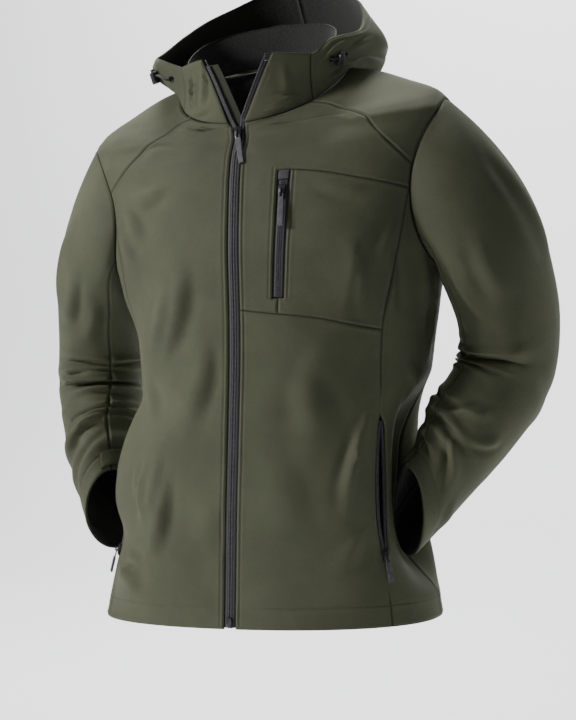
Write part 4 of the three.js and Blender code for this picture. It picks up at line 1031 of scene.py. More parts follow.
def addPiece(name, points, faces, materials, indices=None, sharpAngle=50, uv=None, values=None):
    mesh = bpy.data.meshes.new(name)
    mesh.from_pydata((points * mm).tolist(), [], [list(face) for face in faces])
    for material in materials:
        mesh.materials.append(material)
    if indices is not None:
        mesh.polygons.foreach_set("material_index", np.asarray(indices, np.int32))
    if uv is not None:
        layer = mesh.uv_layers.new(name="cut")
        corners = np.zeros(len(mesh.loops), np.int32)
        mesh.loops.foreach_get("vertex_index", corners)
        layer.data.foreach_set("uv", uv[corners].astype(np.float32).ravel())
    for key, column in (values or {}).items():
        mesh.attributes.new(key, "FLOAT", "POINT").data.foreach_set("value", column.astype(np.float32))
    mesh.polygons.foreach_set("use_smooth", np.ones(len(mesh.polygons), bool))
    mesh.set_sharp_from_angle(angle=math.radians(sharpAngle))
    mesh.update()
    piece = bpy.data.objects.new(name, mesh)
    bpy.context.scene.collection.objects.link(piece)
    return piece


def fitted(piece, node=None, bodyName=jacketBody):
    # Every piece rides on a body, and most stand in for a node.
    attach(piece, bodyName)
    if node:
        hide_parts(node)
    return piece


def facing(points, faces):
    # True where the faces look outwards, from the volume that they enclose.
    triangles = [(face[0], face[k], face[k + 1]) for face in faces for k in range(1, len(face) - 1)]
    a, b, c = points[np.array(triangles)].transpose(1, 0, 2)
    return np.einsum("ij,ij->i", a, np.cross(b, c)).sum() > 0


def normalOn(surface, p, q):
    e = 0.02
    alongP = surface(p + e, q) - surface(p - e, q)
    alongQ = surface(p, q + e) - surface(p, q - e)
    return unit(np.cross(alongP, alongQ))


def sweptPiece(name, rings, materials, looped=False):
    rings = np.array(rings)
    count, size = rings.shape[:2]
    ids = np.arange(count * size).reshape(count, size)
    if looped:
        ahead, behind = np.roll(ids, -1, axis=0), ids
    else:
        ahead, behind = ids[1:], ids[:-1]
    corners = [behind, np.roll(behind, -1, axis=1), np.roll(ahead, -1, axis=1), ahead]
    faces = np.stack(corners, -1).reshape(-1, 4).tolist()
    if not looped:
        faces += [ids[0][::-1].tolist(), ids[-1].tolist()]
    points = rings.reshape(-1, 3)
    if not facing(points, faces):
        faces = [face[::-1] for face in faces]
    lengths = lineStops(rings.mean(1))
    uv = np.stack([np.tile(np.linspace(0, 0.02, size), count), np.repeat(lengths * mm, size)], -1)
    return addPiece(name, points, faces, materials, sharpAngle=40, uv=uv)


# Hood cords and their eyelets

cordSizes = {"radius": 1.5, "places": {"left": (75, 50), "right": (-69, 60)}, "reach": 6.2}
eyeletSection = [  # radius, height
    (2.0, 0.6), (2.9, 0.45), (3.6, 0.6), (3.5, 1.15), (2.9, 1.5), (2.3, 1.35), (2.0, 1.0),
]


def frameOn(surface, p, q):
    # Gives a function for places beside one on the surface: across, out and up from it.
    p, q = np.float64(p), np.float64(q)
    alongP = surface(p + 0.02, q) - surface(p - 0.02, q)
    alongQ = surface(p, q + 0.02) - surface(p, q - 0.02)
    out = unit(np.cross(alongP, alongQ))
    up = unit(alongQ - out * (alongQ @ out))
    side = np.cross(up, out)
    origin = surface(p, q)
    return lambda x, y, z: origin + side * x + out * y + up * z


for name, (p, q) in cordSizes["places"].items():
    lock = frameOn(hood, p, q)
    ends = [frameOn(hood, p + step * cordSizes["reach"], q + 3) for step in (-1, 1)]
    for place, label in zip(ends, ("front", "back")):
        rings = []
        for turn in np.linspace(0, 2 * math.pi, 33)[:-1]:
            x, z = math.cos(turn), math.sin(turn)
            rings.append([place(x * radius, height, z * radius) for radius, height in eyeletSection])
        node = f"eyelet_{name}_{label}"
        eyelet = sweptPiece(f"{node}_ring", rings, [gunmetal], looped=True)
        fitted(eyelet, node)
    route = np.array([
        ends[0](0, 0.4, 0), ends[0](0, 2.6, 0), ends[0](2.2, 4.3, 0),
        lock(-4.4, 4.6, 0), lock(0, 4.6, 0), lock(4.4, 4.6, 0),
        ends[1](-2.2, 4.3, 0), ends[1](0, 2.6, 0), ends[1](0, 0.4, 0),
    ])
    stops = lineStops(route)
    path = onLine(stops, route, lineSlopes(stops, route), np.linspace(0, stops[-1], 41))
    curve = bpy.data.curves.new(f"hood_cord_{name}_braid", "CURVE")
    curve.dimensions = "3D"
    curve.bevel_depth = cordSizes["radius"] * mm
    curve.bevel_resolution = 4
    curve.use_fill_caps = True
    spline = curve.splines.new("POLY")
    spline.points.add(len(path) - 1)
    for point, place in zip(spline.points, path):
        point.co = (*(place * mm), 1)
    curve.materials.append(braid)
    cord = bpy.data.objects.new(f"hood_cord_{name}_braid", curve)
    bpy.context.scene.collection.objects.link(cord)
    fitted(cord, f"hood_cord_{name}")
    path[0] * mm
print("cords made")


# Cloth panels

def distanceTo(points, starts, ends):
    best = np.full(len(points), 1e9)
    ways = ends - starts
    squares = np.maximum(np.einsum("ij,ij->i", ways, ways), 1e-9)
    for first in range(0, len(points), 1500):
        chunk = points[first:first + 1500]
        off = chunk[:, None] - starts[None]
        t = np.clip(np.einsum("ijk,jk->ij", off, ways) / squares, 0, 1)
        gap = off - ways[None] * t[..., None]
        best[first:first + 1500] = np.sqrt(np.einsum("ijk,ijk->ij", gap, gap).min(1))
    return best


cloth = {"thickness": 1.5, "seamGap": 0.15}
edgeRoll = {"depth": 0.9, "width": 1.7, "ridge": 0.35, "ridgeAt": 3.6, "ridgeWidth": 1.8}
stitchGroove = {"depth": 0.55, "width": 1.1, "ridge": 0.3, "ridgeAt": 2.6, "ridgeWidth": 1.4}
cutShares = {"most": 0.98, "usual": 0.95}  # of a cut rectangle that a panel fills
narrowestCut = 0.012


def grooved(distance, shape):
    # A dip along a line, with a low ridge beside it.
    ridge = shape["ridge"] * np.exp(-((distance - shape["ridgeAt"]) / shape["ridgeWidth"]) ** 2)
    return ridge - shape["depth"] * np.exp(-(distance / shape["width"]) ** 2)


def declareSheet(piece, surface, grids):
    # The panel's own area, and the rectangle that it is cut from.
    area = sum(face.area for face in piece.data.polygons) / 2
    spans = []
    for axis in (0, 1):
        steps = [np.diff(surface(grid[..., 0], grid[..., 1]), axis=axis) for grid in grids]
        spans.append(max(np.linalg.norm(step, axis=-1).sum(axis).max() for step in steps) * mm)
    across, down = max(spans[1], narrowestCut), max(spans[0], narrowestCut)
    if area > cutShares["most"] * across * down:
        down = area / across / cutShares["usual"]


def addCloth(node, surface, grids, relief, side=1, lift=0.0, thick=None, perP=bodyPerDegree, grooves=(),
             roll=1.0, restsOn=(), faceMaterial=softshell,
             backMaterial=fleece):
    places = np.concatenate([grid.reshape(-1, 2) for grid in grids])
    _, firsts, numbers = np.unique(np.round(places, 3), axis=0, return_index=True, return_inverse=True)
    numbers = numbers.reshape(-1)
    quads, done = [], 0
    for grid in grids:
        ids = numbers[done:done + grid.shape[0] * grid.shape[1]].reshape(grid.shape[:2])
        quads.append(np.stack([ids[:-1, :-1], ids[:-1, 1:], ids[1:, 1:], ids[1:, :-1]], -1).reshape(-1, 4))
        done += ids.size
    quads = np.concatenate(quads)
    p, q = places[firsts].T
    count = len(p)
    onForm = surface(p, q)
    normal = normalOn(surface, p, q) * side
    starts = quads.reshape(-1)
    ends = np.roll(quads, -1, axis=1).reshape(-1)
    onRim = ~np.isin(ends * count + starts, starts * count + ends)
    rimStart, rimEnd = starts[onRim], ends[onRim]
    away = distanceTo(onForm, onForm[rimStart], onForm[rimEnd])
    height = relief(p, q) * smooth(away / 9 + 0.25) + roll * grooved(away, edgeRoll)
    for line in grooves:
        groove = surface(*line.T)
        height += grooved(distanceTo(onForm, groove[:-1], groove[1:]), stitchGroove)
    inward = np.zeros_like(onForm)
    edge = unit(onForm[rimEnd] - onForm[rimStart])
    turnedIn = np.cross(normal[rimStart], edge) * side
    np.add.at(inward, rimStart, turnedIn)
    np.add.at(inward, rimEnd, turnedIn)
    length = np.linalg.norm(inward, axis=1, keepdims=True)
    inward = np.where(length > 0, inward / np.maximum(length, 1e-9), 0) * cloth["seamGap"]
    thickness = np.full(count, cloth["thickness"]) if thick is None else thick(p, q)
    outside = onForm + inward + normal * (lift + height)[:, None]
    inside = onForm + inward + normal * (lift + height - thickness)[:, None]
    points = np.concatenate([outside, inside])
    rim = np.stack([rimEnd, rimStart, rimStart + count, rimEnd + count], -1)
    faces = np.concatenate([quads, quads[:, ::-1] + count, rim])
    triangles = np.concatenate([faces[:, [0, 1, 2]], faces[:, [0, 2, 3]]])
    if not facing(points, triangles):
        faces = faces[:, ::-1]
    indices = np.concatenate([np.zeros(len(quads)), np.ones(len(quads)), np.zeros(len(rim))])
    uv = np.stack([p * perP, q], -1) * mm
    values = {"seamDistance": np.concatenate([away, away])}
    piece = addPiece(f"{node}_cloth", points, faces, [faceMaterial, backMaterial], indices,
                     uv=np.concatenate([uv, uv]), values=values)
    fitted(piece, node)
    declareSheet(piece, surface, grids)


hem = {
    "extra": 1.2, "clearOfZip": 9,  # an angle
    "steps": (0.86, 0.93, 0.97, 1.03, 1.07),  # more rows of the mesh beside the stitches
}
zipStitch = {"inset": 5.2, "bottom": 4, "top": 640}


def hemmed(p, q):
    # The cloth is folded double at the hem, but not beside the zip.
    besideZip = np.abs(p) < hem["clearOfZip"]
    return cloth["thickness"] + hem["extra"] * smooth((body["hemHeight"] + 2 - q) / 3) * ~besideZip


def hemRow(first, last, count=160):
    return np.stack([np.linspace(first, last, count), np.full(count, body["hemHeight"])], -1)


def zipRow(side):
    levels = np.linspace(zipStitch["bottom"], zipStitch["top"], 170)
    return np.stack([side * (zipEdgeAngle(levels) + angleOf(zipStitch["inset"], levels)), levels], -1)


stitchRows = []  # every row of thread: surface, relief, places, side

# Front panels

frontLevels = [
    *pocketLevels, 360, 382, 404, 426, 448, 470, 489, 507, 525, 542,
    558, 574, 590, 606, 622, 645, neckLevel,
]


def zipLine(side, levels):
    return seamLine([(side * float(zipEdgeAngle(level)), level) for level in levels])


right, left = seams["right"], seams["left"]
rightOuter = after(right["lowFront"], right["high"], right["frontArc"], turned(right["frontYoke"]))
rightTop = neckLine(-1, right["frontNeck"])
rightZip = zipLine(-1, frontLevels)
rightBottom = hemLine(float(-zipEdgeAngle(0)), float(right["frontEdge"](0)), cellsOf(rightTop))
rightGrooves = [zipRow(-1), hemRow(-8, -60)]
addCloth("front_right", torso, [
    sidedPatch(-1, rightBottom, rightTop, rightZip, rightOuter, extraV=hem["steps"]),
], torsoRelief, thick=hemmed, grooves=rightGrooves, restsOn=["yoke_right"])

chestSeamStart = (float(zipEdgeAngle(368)), 368)
chestSeamMiddle = (chestZip["angle"], 361.5)
chestInner = seamLine(resampled([chestSeamStart, chestSeamMiddle], 2))
chestEnd = (float(left["frontEdge"](338)), 338)
chestOuter = seamLine(resampled([chestSeamMiddle, (30.8, 354), (41.5, 346), chestEnd], 8))
chestSeam = after(chestInner, chestOuter)
lowerZip = zipLine(1, [*pocketLevels[:11], 324, 368])
lowerBottom = hemLine(float(zipEdgeAngle(0)), float(left["frontEdge"](0)), cellsOf(chestSeam))
leftGrooves = [zipRow(1), hemRow(8, 56)]
addCloth("front_left_lower", torso, [
    patch(lowerBottom, chestSeam, lowerZip, left["lowFront"], extraV=hem["steps"]),
], torsoRelief, thick=hemmed, grooves=leftGrooves, restsOn=["front_left_upper"])

windowLow, windowHigh = chestZip["angle"] - chestZip["half"], chestZip["angle"] + chestZip["half"]
windowLevels = [chestZip["bottom"], 408, 437, 466, 495, chestZip["top"]]


def windowEdge(angle):
    middle, corner = (chestZip["angle"], chestZip["bottom"]), (angle, chestZip["bottom"])
    return seamLine([chestSeamMiddle, middle], [middle, corner], [(angle, level) for level in windowLevels])


chestTop = seamLine(resampled([(windowHigh, chestZip["top"]), (27, 516), (40.2, 504), left["meet"]], 8))
stripZip = zipLine(1, [368, 378, 380, 408, 437, 466, 495, 526])
stripTop = seamLine(resampled([(float(zipEdgeAngle(526)), 526), (windowLow, chestZip["top"])], 2))
overWindow = seamLine([(windowLow, chestZip["top"]), (windowHigh, chestZip["top"])])
chestU = finePlaces(chestInner, stripTop, 4)
upperBottom = after(stripTop, overWindow, chestTop)
upperU = np.concatenate([chestU, 2 + np.linspace(0, 1, 5)[1:],
                         3 + finePlaces(chestTop, chestTop, 3.7)[1:]])
upperLevels = [526, 542, 558, 574, 590, 606, 622, 640, 658, 684, neckLevel]
windowGrooves = [
    np.stack([np.full(60, angle), np.linspace(chestZip["bottom"] - 3, top, 60)], -1)
    for angle, top in ((windowLow - chestZip["stitchBeside"], chestZip["top"] + 4),
                       (windowHigh + chestZip["stitchBeside"], chestZip["top"] - 2))
]
addCloth("front_left_upper", torso, [
    patch(chestInner, stripTop, stripZip, windowEdge(windowLow), u=chestU),
    patch(upperBottom, neckLine(1, left["frontNeck"]), zipLine(1, upperLevels),
          after(left["frontArc"], turned(left["frontYoke"])), u=upperU),
], torsoRelief, grooves=[leftGrooves[0], windowGrooves[0]], restsOn=["yoke_left"])
addCloth("chest_pocket_panel", torso, [
    patch(chestOuter, chestTop, windowEdge(windowHigh), left["high"]),
], torsoRelief, grooves=[windowGrooves[1]], restsOn=["front_left_upper"])
print("fronts made")

# Sides, yokes and back

for name, seam in seams.items():
    near = after(seam["lowSide"], seam["high"])
    bottom = hemLine(float(seam["sideEdge"](0)), seam["side"] * 96.0, 8)
    addCloth(f"side_{name}", torso, [
        sidedPatch(seam["side"], bottom, seam["underArc"], near, seam["sideBack"], extraV=hem["steps"]),
    ], torsoRelief, thick=hemmed, grooves=[hemRow(seam["side"] * 58, seam["side"] * 97)],
        restsOn=[f"yoke_{name}"])
    neck = neckLine(seam["side"], seam["yokeNeck"])
    addCloth(f"yoke_{name}", torso, [
        sidedPatch(seam["side"], seam["frontYoke"], seam["backYoke"], neck, seam["yokeArc"]),
    ], torsoRelief)


def pastBack(line):
    return seamLine(*[points + np.array([360, 0]) for _, points, _ in line])


def backSide(seam):
    return after(seam["sideBack"], seam["backArc"], turned(seam["backYoke"]))


halfNeck = hoodAngles[8:]
backTop = neckLine(1, halfNeck + [360 - angle for angle in halfNeck[-2::-1]])
addCloth("back_panel", torso, [
    patch(hemLine(96, 264, cellsOf(backTop)), backTop, backSide(left), pastBack(backSide(right)),
          spacing=4.4, extraV=hem["steps"]),
], torsoRelief, thick=hemmed, grooves=[hemRow(94, 266, count=260)], restsOn=["yoke_left", "yoke_right"])
print("body made")

# Sleeves and cuff tabs

cuffTabs = {  # turn from, turn to, before the end, after
    "left": (282, 318, 32, 7),
    "right": (290, 338, 30, 6),
}
cuffHem = 26  # how far it reaches up the sleeve


def sleeveTurns(turns, spacing):
    places = []
    for first, last in zip(turns[:-1], turns[1:]):
        count = max(1, round((last - first) / spacing))
        places += list(np.linspace(first, last, count + 1)[:-1])
    ends = [1.0, 2.2, 3.8, 5.6, 8.0]
    places += [turns[0] + step for step in ends] + [turns[-1] - step for step in ends]
    return np.array(sorted({round(float(value), 4) for value in [*places, turns[-1]]}))


for name, seam in seams.items():
    side, end = seam["side"], headSpan + sleeves[name]["length"]
    surface, relief = sleeve(name), sleeveRelief(name)
    stops = np.concatenate([[0, 1.2, 2.6, 4.4, 6.6, 9.5, 13], np.linspace(17, headSpan, 28),
                            np.linspace(headSpan, end - cuffHem, 90)[1:],
                            end - np.array([25, 24, 22.5, 20, 16, 11, 7, 4, 2, 0.8, 0])])
    cuffRow = np.array([[turn, end - cuffHem + 1.5] for turn in np.linspace(-145, 215, 200)])

    def thick(turn, along, end=end):
        return cloth["thickness"] + 0.8 * smooth((along - (end - 24)) / 4)

    for half, turns, row in (("upper", seam["turns"][6:], cuffRow[cuffRow[:, 0] > seam["turns"][6]]),
                             ("under", seam["turns"][:7], cuffRow[cuffRow[:, 0] < seam["turns"][6]])):
        around = sleeveTurns(turns, 3.4)
        grid = np.stack(np.meshgrid(around, stops), -1)
        addCloth(f"sleeve_{half}_{name}", surface, [grid], relief, side=-side, thick=thick,
                 perP=sleevePerDegree, grooves=[row], restsOn=[f"yoke_{name}"])
        stitchRows.append((surface, relief, row, -side))
    turnFrom, turnTo, before, behind = cuffTabs[name]
    rows = np.linspace(end - before, end - behind, 16)
    grid = np.array([[(turn - 360, along) for turn in np.linspace(
        turnFrom, turnTo - 6 * abs(along - rows.mean()) / (before - behind), 22)] for along in rows])
    addCloth(f"cuff_tab_{name}", surface, [grid], relief, side=-side, lift=2.3, perP=sleevePerDegree,
             roll=0.5, restsOn=[f"sleeve_under_{name}", f"sleeve_upper_{name}"])
print("sleeves made")

# Collar, hood and the standing collar inside it

collarOpen = {"left": 22.2, "right": 18.8}
neckTapeDrop = 2.2  # how much deeper the tape lies beside the neck seam


def collarEdge(name, up):
    return float(zipEdgeAngle(neckLevel)) + collarOpen[name] * np.asarray(up, float) / 100


upSteps = np.array([0, 2, 4.5, 8, 12, *np.linspace(17, 83, 13), 88, 92, 95.5, 98, 100])
for name, seam in seams.items():
    side = seam["side"]
    shares = np.array([0, 0.02, 0.05, 0.09, 0.14, *np.linspace(0.2, 0.8, 12), 0.86, 0.91, 0.95, 0.98, 1])
    opened = collarEdge(name, upSteps)[:, None]
    angles = side * (opened + (hoodSeamAngle - opened) * shares[None])
    grid = np.stack([angles, np.broadcast_to(upSteps[:, None], angles.shape)], -1)
    grid = grid if side > 0 else grid[:, ::-1]
    edgeRow = np.stack([side * (collarEdge(name, np.linspace(3, 97, 40)) + 3.0), np.linspace(3, 97, 40)], -1)
    topRow = np.array([[side * angle, 90.0] for angle in np.linspace(collarEdge(name, 90) + 3, 52, 40)])
    addCloth(f"collar_front_{name}", collar, [grid], collarRelief, perP=1.8, grooves=[edgeRow, topRow],
             restsOn=["front_right" if name == "right" else "front_left_upper"])
    stitchRows.append((collar, collarRelief, edgeRow, 1))
    around = np.array(sorted({*np.linspace(hoodSeamAngle, 180, 64), 55.6, 56.4, 57.4, 58.6, 60,
                              179.4, 178.6, 177.6, 176}))
    over = np.array([0, 0.6, 1.4, 2.4, 3.8, *np.linspace(5.5, 94.5, 52), 96, 97.4, 98.5, 99.3, 100])
    grid = np.stack(np.meshgrid(side * around, over), -1)
    grid = grid if side > 0 else grid[:, ::-1]
    brimRow = np.array([[side * angle, 93.0] for angle in np.linspace(57, 178, 120)])
    addCloth(f"hood_{name}", hood, [grid], hoodRelief, perP=2.0, grooves=[brimRow],
             restsOn=[f"yoke_{name}", "back_panel"])
    stitchRows.append((hood, hoodRelief, brimRow, 1))
around = np.linspace(innerCollarFrom, 360 - innerCollarFrom, 130)
over = np.array([5, 6.5, 9, 13, *np.linspace(18, 84, 14), 90, 94, 97, 98.6, 100])
addCloth("collar_inner", innerCollar, [np.stack(np.meshgrid(around, over), -1)], flatRelief, perP=1.9,
         grooves=[np.array([[angle, 91.0] for angle in np.linspace(58, 302, 120)])],
         restsOn=["collar_front_left", "collar_front_right"])
print("collar and hood made")


# Zips

def perUnitAt(surface, p, q):
    # How many millimetres one unit of p is there.
    return np.linalg.norm(surface(p + 0.02, q) - surface(p - 0.02, q)) / 0.04


def ringOn(surface, p, q, side, section):
    # A section of places across and deep, laid on the surface at one level.
    p, q = np.float64(p), np.float64(q)
    across, deep = np.array(section, float).T
    at = p + side * across / perUnitAt(surface, p, q)
    level = np.full_like(at, q)
    return surface(at, level) - normalOn(surface, at, level) * deep[:, None]


def toothOn(surface, p, q, middle):
    # A tooth's middle and its directions: across, up and out.
    out = normalOn(surface, np.float64(p), np.float64(q))
    up = unit(surface(p, q + 0.05) - surface(p, q - 0.05))
    return middle, np.cross(up, out), up, out


def rowOfTeeth(name, teeth, size):
    # teeth holds what toothOn gives for each, and size is its width, height and depth.
    shape = np.array([
        (-0.5, -0.5, 0), (0.5, -0.5, 0), (0.5, 0.5, 0), (-0.5, 0.5, 0),
        (-0.42, -0.3, 0.75), (0.42, -0.3, 0.75), (0.42, 0.3, 0.75), (-0.42, 0.3, 0.75),
        (-0.25, -0.12, 1), (0.25, -0.12, 1), (0.25, 0.12, 1), (-0.25, 0.12, 1),
    ]) * np.array(size)
    sides = [(3, 2, 1, 0), (8, 9, 10, 11)]
    for low, high in ((0, 4), (4, 8)):
        for k in range(4):
            sides.append((low + k, low + (k + 1) % 4, high + (k + 1) % 4, high + k))
    points, faces = [], []
    for number, (middle, across, up, out) in enumerate(teeth):
        points.append(middle + shape[:, :1] * across + shape[:, 1:2] * up + shape[:, 2:] * out)
        faces += [tuple(corner + number * len(shape) for corner in side) for side in sides]
    points = np.concatenate(points)
    if not facing(points, faces):
        faces = [face[::-1] for face in faces]
    fitted(addPiece(name, points, faces, [coilNylon], sharpAngle=60))


frontZip = {"gap": 0.17, "bottom": 2, "top": 622, "collarBottom": 7, "collarTop": 99, "perUp": 0.78}
frontTeeth = {"pitch": 1.9, "size": (3.0, 1.25, 0.75)}
frontTape = [  # across, deep
    (0.0, 1.3), (0.4, 0.85), (1.4, 0.62), (2.6, 0.8), (3.0, 1.25), (3.4, 0.9), (5.0, 0.95),
    (5.8, 1.3), (6.6, 2.5), (13.5, 2.5), (13.5, 3.3), (0.0, 3.3),
]


def frontCoilPlaces(name, spacing):
    # Places up one side of the front zip and on up the collar: surface, p, q and how much deeper.
    side = armholes[name]["side"]
    places = []
    for level in np.arange(frontZip["bottom"], frontZip["top"], spacing):
        p = side * float(angleOf(frontZip["gap"] + zipSpread(level), level))
        places.append((torso, p, level, float(neckTapeDrop * smooth((level - 590) / 30))))
    for up in np.arange(frontZip["collarBottom"], frontZip["collarTop"], spacing / frontZip["perUp"]):
        edge = float(collarEdge(name, up))
        p = side * (edge - frontZipHalfWidth / perUnitAt(collar, side * edge, up))
        places.append((collar, p, up, float(neckTapeDrop * (1 - smooth(up / 45)))))
    return places


for name in seams:
    side = armholes[name]["side"]
    rings = [ringOn(surface, p, q, side, [(across, deep + sunk) for across, deep in frontTape])
             for surface, p, q, sunk in frontCoilPlaces(name, 9.0)]
    piece = sweptPiece(f"front_zip_tape_{name}_woven", rings, [zipTape])
    fitted(piece, f"front_zip_tape_{name}")
    teeth = [toothOn(surface, p, q, ringOn(surface, p, q, side, [(1.45, 1.05 + sunk)])[0])
             for surface, p, q, sunk in frontCoilPlaces(name, frontTeeth["pitch"])]
    rowOfTeeth(f"front_zip_coil_{name}", teeth, frontTeeth["size"])

flapSection = [(-11, 3.9), (-4, 3.7), (4, 3.7), (13.5, 3.8), (13.5, 5.0), (4, 5.0), (-4, 5.0), (-11, 5.0)]
flapRings = [ringOn(surface, p, q, -1, [(across, deep + sunk) for across, deep in flapSection])
             for surface, p, q, sunk in frontCoilPlaces("right", 9.0)]
flap = fitted(sweptPiece("storm_flap_cloth", flapRings, [softshell]), "storm_flap")

chestTeeth = {"pitch": 1.7, "size": (2.4, 1.1, 0.6)}
chestTape = [  # across, deep
    (-10, 2.7), (-5.1, 2.7), (-5.1, 1.1), (-4.2, 0.75), (-2.9, 0.8), (-2.6, 1.15), (-0.25, 1.0), (0, 1.25),
    (0.25, 1.0), (2.6, 1.15), (2.9, 0.8), (4.2, 0.75), (5.1, 1.1), (5.1, 2.7), (10, 2.7),
    (10, 3.5), (-10, 3.5),
]


def chestRing(level):
    # Past the ends of the pocket's window the whole tape lies under the cloth.
    inWindow = chestZip["bottom"] + 1 < level < chestZip["top"] - 1
    section = [(across, deep if inWindow else max(deep, 2.6)) for across, deep in chestTape]
    return ringOn(torso, chestZip["angle"], level, 1, section)


chestLevels = [374, 377, 379.7, 380.6, *np.linspace(388, 513, 22), 520.6, 521.4, 524, 526]
chestWoven = sweptPiece("chest_zip_tape_woven", [chestRing(level) for level in chestLevels], [zipTape])
fitted(chestWoven, "chest_zip_tape")
teeth = []
for level in np.arange(chestZip["bottom"] + 3, chestZip["top"] - 3, chestTeeth["pitch"]):
    for way in (-1, 1):
        middle = ringOn(torso, chestZip["angle"], level + 0.4 * way, 1, [(1.35 * way, 1.1)])[0]
        teeth.append(toothOn(torso, chestZip["angle"], level, middle))
rowOfTeeth("chest_zip_coil", teeth, chestTeeth["size"])

handTeeth = {"steps": (-1.2, 0.6), "size": (2.0, 1.1, 0.55)}
handTapes = [  # part, its edge, way out, longest reach into the gap, share of the gap
    ("front", "frontEdge", -1, 5.4, 0.56),
    ("back", "sideEdge", 1, 3.2, 0.34),
]
bagSizes = {"bottom": 72, "top": 262, "front": 5.5, "back": 6, "deep": 10, "thickness": 1.2}

for name, seam in seams.items():
    for part, edgeName, way, longest, share in handTapes:
        rings, teeth = [], []
        edge, turn = seam[edgeName], seam["side"] * way
        for level in np.linspace(pocketBottom + 6, pocketTop - 7, 44):
            p = float(edge(level))
            gap = abs(float(seam["sideEdge"](level)) - float(seam["frontEdge"](level)))
            reach = -min(longest, share * gap * perUnitAt(torso, p, level))
            rings.append(ringOn(torso, p, level, turn, [
                (reach, 1.5), (reach + 0.3, 1.1), (-0.9, 1.0), (-0.6, 3.1), (6, 3.1), (6, 3.8), (reach, 3.8),
            ]))
            for step in handTeeth["steps"]:
                q = level + step
                middle = ringOn(torso, float(edge(q)), q, turn, [(reach + 1.4, 1.15)])[0]
                teeth.append(toothOn(torso, p, q, middle))
        piece = sweptPiece(f"hand_zip_{part}_{name}_woven", rings, [zipTape])
        fitted(piece, f"hand_zip_{part}_{name}")
        rowOfTeeth(f"hand_zip_coil_{part}_{name}", teeth[2:-2], handTeeth["size"])

    def bagEdges(level, seam=seam):
        return (seam["side"] * seam["frontEdge"](level) - bagSizes["front"],
                seam["side"] * seam["sideEdge"](level) + bagSizes["back"])

    def bag(angle, level, seam=seam, bagEdges=bagEdges):
        place = np.clip((level - bagSizes["bottom"]) / (bagSizes["top"] - bagSizes["bottom"]), 0, 1)
        near, far = bagEdges(level)
        across = np.clip((seam["side"] * angle - near) / (far - near), 0, 1)
        full = (np.sin(np.pi * place) * np.sin(np.pi * across)) ** 0.8
        sunk = 3.5 - 0.4 * across + bagSizes["deep"] * full
        return torso(angle, level) - normalOn(torso, angle, level) * sunk[..., None]

    grid = []
    for level in np.linspace(bagSizes["bottom"], bagSizes["top"], 34):
        near, far = bagEdges(level)
        grid.append([(seam["side"] * angle, level) for angle in np.linspace(float(near), float(far), 12)])
    grid = np.array(grid)
    grid = grid if seam["side"] > 0 else grid[:, ::-1]
    addCloth(f"hand_pocket_bag_{name}", bag, [grid], flatRelief, roll=0.0, faceMaterial=lining,
             backMaterial=lining, restsOn=[f"side_{name}"],
             thick=lambda p, q: np.full(np.shape(p), bagSizes["thickness"]))
tabGrid = np.stack(np.meshgrid(chestZip["angle"] + np.linspace(-1.6, 1.6, 10),
                               np.linspace(511, chestZip["top"] - 0.6, 10)), -1)
addCloth("chest_zip_tab", torso, [tabGrid], flatRelief, lift=0.9, roll=0.3,
         faceMaterial=zipTape, thick=lambda p, q: np.full(np.shape(p), 1.0), restsOn=["chest_zip_tape"])
print("zips made")


# Hard pieces, rounded from their solids

rounding = {"weld": 0.00001, "segments": 3, "corner": 35, "sharp": 42}


def roundedFrom(node, width, material, bodyName=jacketBody):
    piece = bpy.data.objects.new(f"{node}_finished", nodes[node].data.copy())
    bpy.context.scene.collection.objects.link(piece)
    weld = piece.modifiers.new("weld", "WELD")
    weld.merge_threshold = rounding["weld"]
    bevel = piece.modifiers.new("bevel", "BEVEL")
    bevel.width, bevel.segments, bevel.limit_method = width * mm, rounding["segments"], "ANGLE"
    bevel.angle_limit = math.radians(rounding["corner"])
    bevel.use_clamp_overlap = True
    graph = bpy.context.evaluated_depsgraph_get()
    made = bpy.data.meshes.new_from_object(piece.evaluated_get(graph))
    piece.modifiers.clear()
    piece.data = made
    made.materials.clear()
    made.materials.append(material)
    made.polygons.foreach_set("use_smooth", np.ones(len(made.polygons), bool))
    made.set_sharp_from_angle(angle=math.radians(rounding["sharp"]))
    fitted(piece, node, bodyName)


for node in ("front_zip_slider", "chest_zip_slider", "hand_zip_slider_right", "hand_zip_slider_left"):
    roundedFrom(node, 0.5, gunmetal)
roundedFrom("front_zip_box", 0.7, gunmetal)
for node in ("front_pull", "chest_pull", "hand_pull_right", "hand_pull_left"):
    roundedFrom(node, 0.45, gripRubber, f"{node}_body")
for node in ("cord_lock_right", "cord_lock_left"):
    roundedFrom(node, 0.8, lockPlastic)
print("hard pieces made")

# Stitching

stitch = {"length": 2.3, "gap": 1.1, "radius": 0.27, "sunk": 0.28}
for row in (rightGrooves[0], leftGrooves[0], hemRow(-7, -262, 700), hemRow(8, 98, 300), *windowGrooves):
    stitchRows.append((torso, torsoRelief, row, 1))


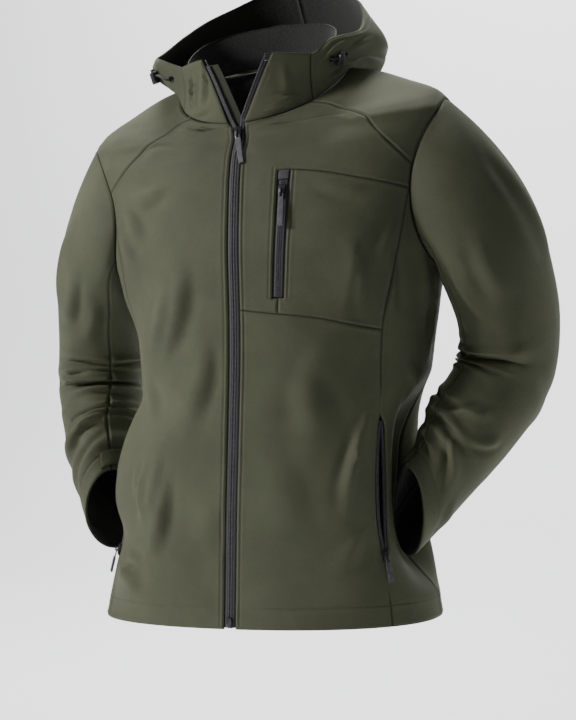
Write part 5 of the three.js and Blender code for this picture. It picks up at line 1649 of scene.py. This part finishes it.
def stitching(name, rows):
    points, faces = [], []
    for surface, relief, row, side in rows:
        height = side * (relief(*row.T) - stitch["sunk"])
        onForm = surface(*row.T) + normalOn(surface, *row.T) * height[:, None]
        stops = lineStops(onForm)
        pitch = stitch["length"] + stitch["gap"]
        for at in np.arange(stitch["gap"], stops[-1] - pitch, pitch):
            start, end = (np.array([np.interp(here, stops, onForm[:, k]) for k in range(3)])
                          for here in (at, at + stitch["length"]))
            place = np.array([np.interp(at, stops, row[:, k]) for k in range(2)])
            out = normalOn(surface, place[0], place[1]) * side
            way = unit(end - start)
            across = np.cross(way, out)
            first = len(points)
            points.append(start)
            for share in (0.25, 0.75):
                middle = start + (end - start) * share + out * 0.1
                for x, y in ((1, 0), (0, 1), (-1, 0), (0, -1)):
                    points.append(middle + (across * x + out * y) * stitch["radius"])
            points.append(end)
            for k in range(4):
                a, b = first + 1 + k, first + 1 + (k + 1) % 4
                faces += [(first, b, a), (a, b, b + 4, a + 4), (first + 9, a + 4, b + 4)]
    fitted(addPiece(name, np.array(points), faces, [thread], sharpAngle=80))


stitching("body_stitching", [row for row in stitchRows if row[0] is torso])
stitching("trim_stitching", [row for row in stitchRows if row[0] is not torso])
print("stitching made")

# Light and floor

lights = {  # place, size, power, aim
    "key": ((-2.2, -1.6, 0.85), 0.8, 86, (0, 0, -0.3)),
    "fill": ((2.4, -2.2, 0.3), 2.0, 2, (0, 0, -0.3)),
    "top": ((0.1, -0.6, 2.4), 1.0, 2.5, (0, 0, -0.3)),
    "behind": ((2.2, 1.2, 0.2), 1.4, 9, (0, 0, -0.3)),
    "wall": ((-0.6, 0.9, 2.2), 1.5, 260, (-1.2, 3.4, -0.2)),
}
sky = {"colour": (0.93, 0.94, 0.95, 1), "strength": 0.16}
for name, (place, size, power, aim) in lights.items():
    lamp = bpy.data.lights.new(name, "AREA")
    lamp.shape, lamp.size, lamp.energy = "DISK", size, power
    holder = bpy.data.objects.new(name, lamp)
    bpy.context.scene.collection.objects.link(holder)
    holder.location = place
    holder.rotation_mode = "QUATERNION"
    holder.rotation_quaternion = (Vector(aim) - Vector(place)).to_track_quat("-Z", "Y")
world = bpy.data.worlds.new("studio")
bpy.context.scene.world = world
world.use_nodes = True
world.node_tree.nodes["Background"].inputs["Color"].default_value = sky["colour"]
world.node_tree.nodes["Background"].inputs["Strength"].default_value = sky["strength"]

floorMaterial, wire = startMaterial("studio_floor")
grain = wire.noise(wire.node("ShaderNodeTexCoord", output="Object"), 3.0, 2.0, 0.5)
finishMaterial(floorMaterial, wire, {
    "Base Color": wire.blended(grain, (0.90, 0.905, 0.91, 1), (0.94, 0.945, 0.95, 1)),
    "Roughness": 0.9 + grain * 0.05,
})
studio = {"floor": -1150, "near": -5000, "far": 2600, "half": 6000, "bend": 900, "top": 5000}
profile = [(studio["near"], studio["floor"])]
for turn in np.linspace(0, math.pi / 2, 12):
    profile.append((studio["far"] + studio["bend"] * math.sin(turn),
                    studio["floor"] + studio["bend"] * (1 - math.cos(turn))))
profile.append((studio["far"] + studio["bend"], studio["top"]))
points = np.array([(x, y, z) for x in (-studio["half"], studio["half"]) for y, z in profile], float)
count = len(profile)
floor = addPiece("studio_floor", points, [(k, k + count, k + 1 + count, k + 1) for k in range(count - 1)],
                 [floorMaterial])
print("studio made")
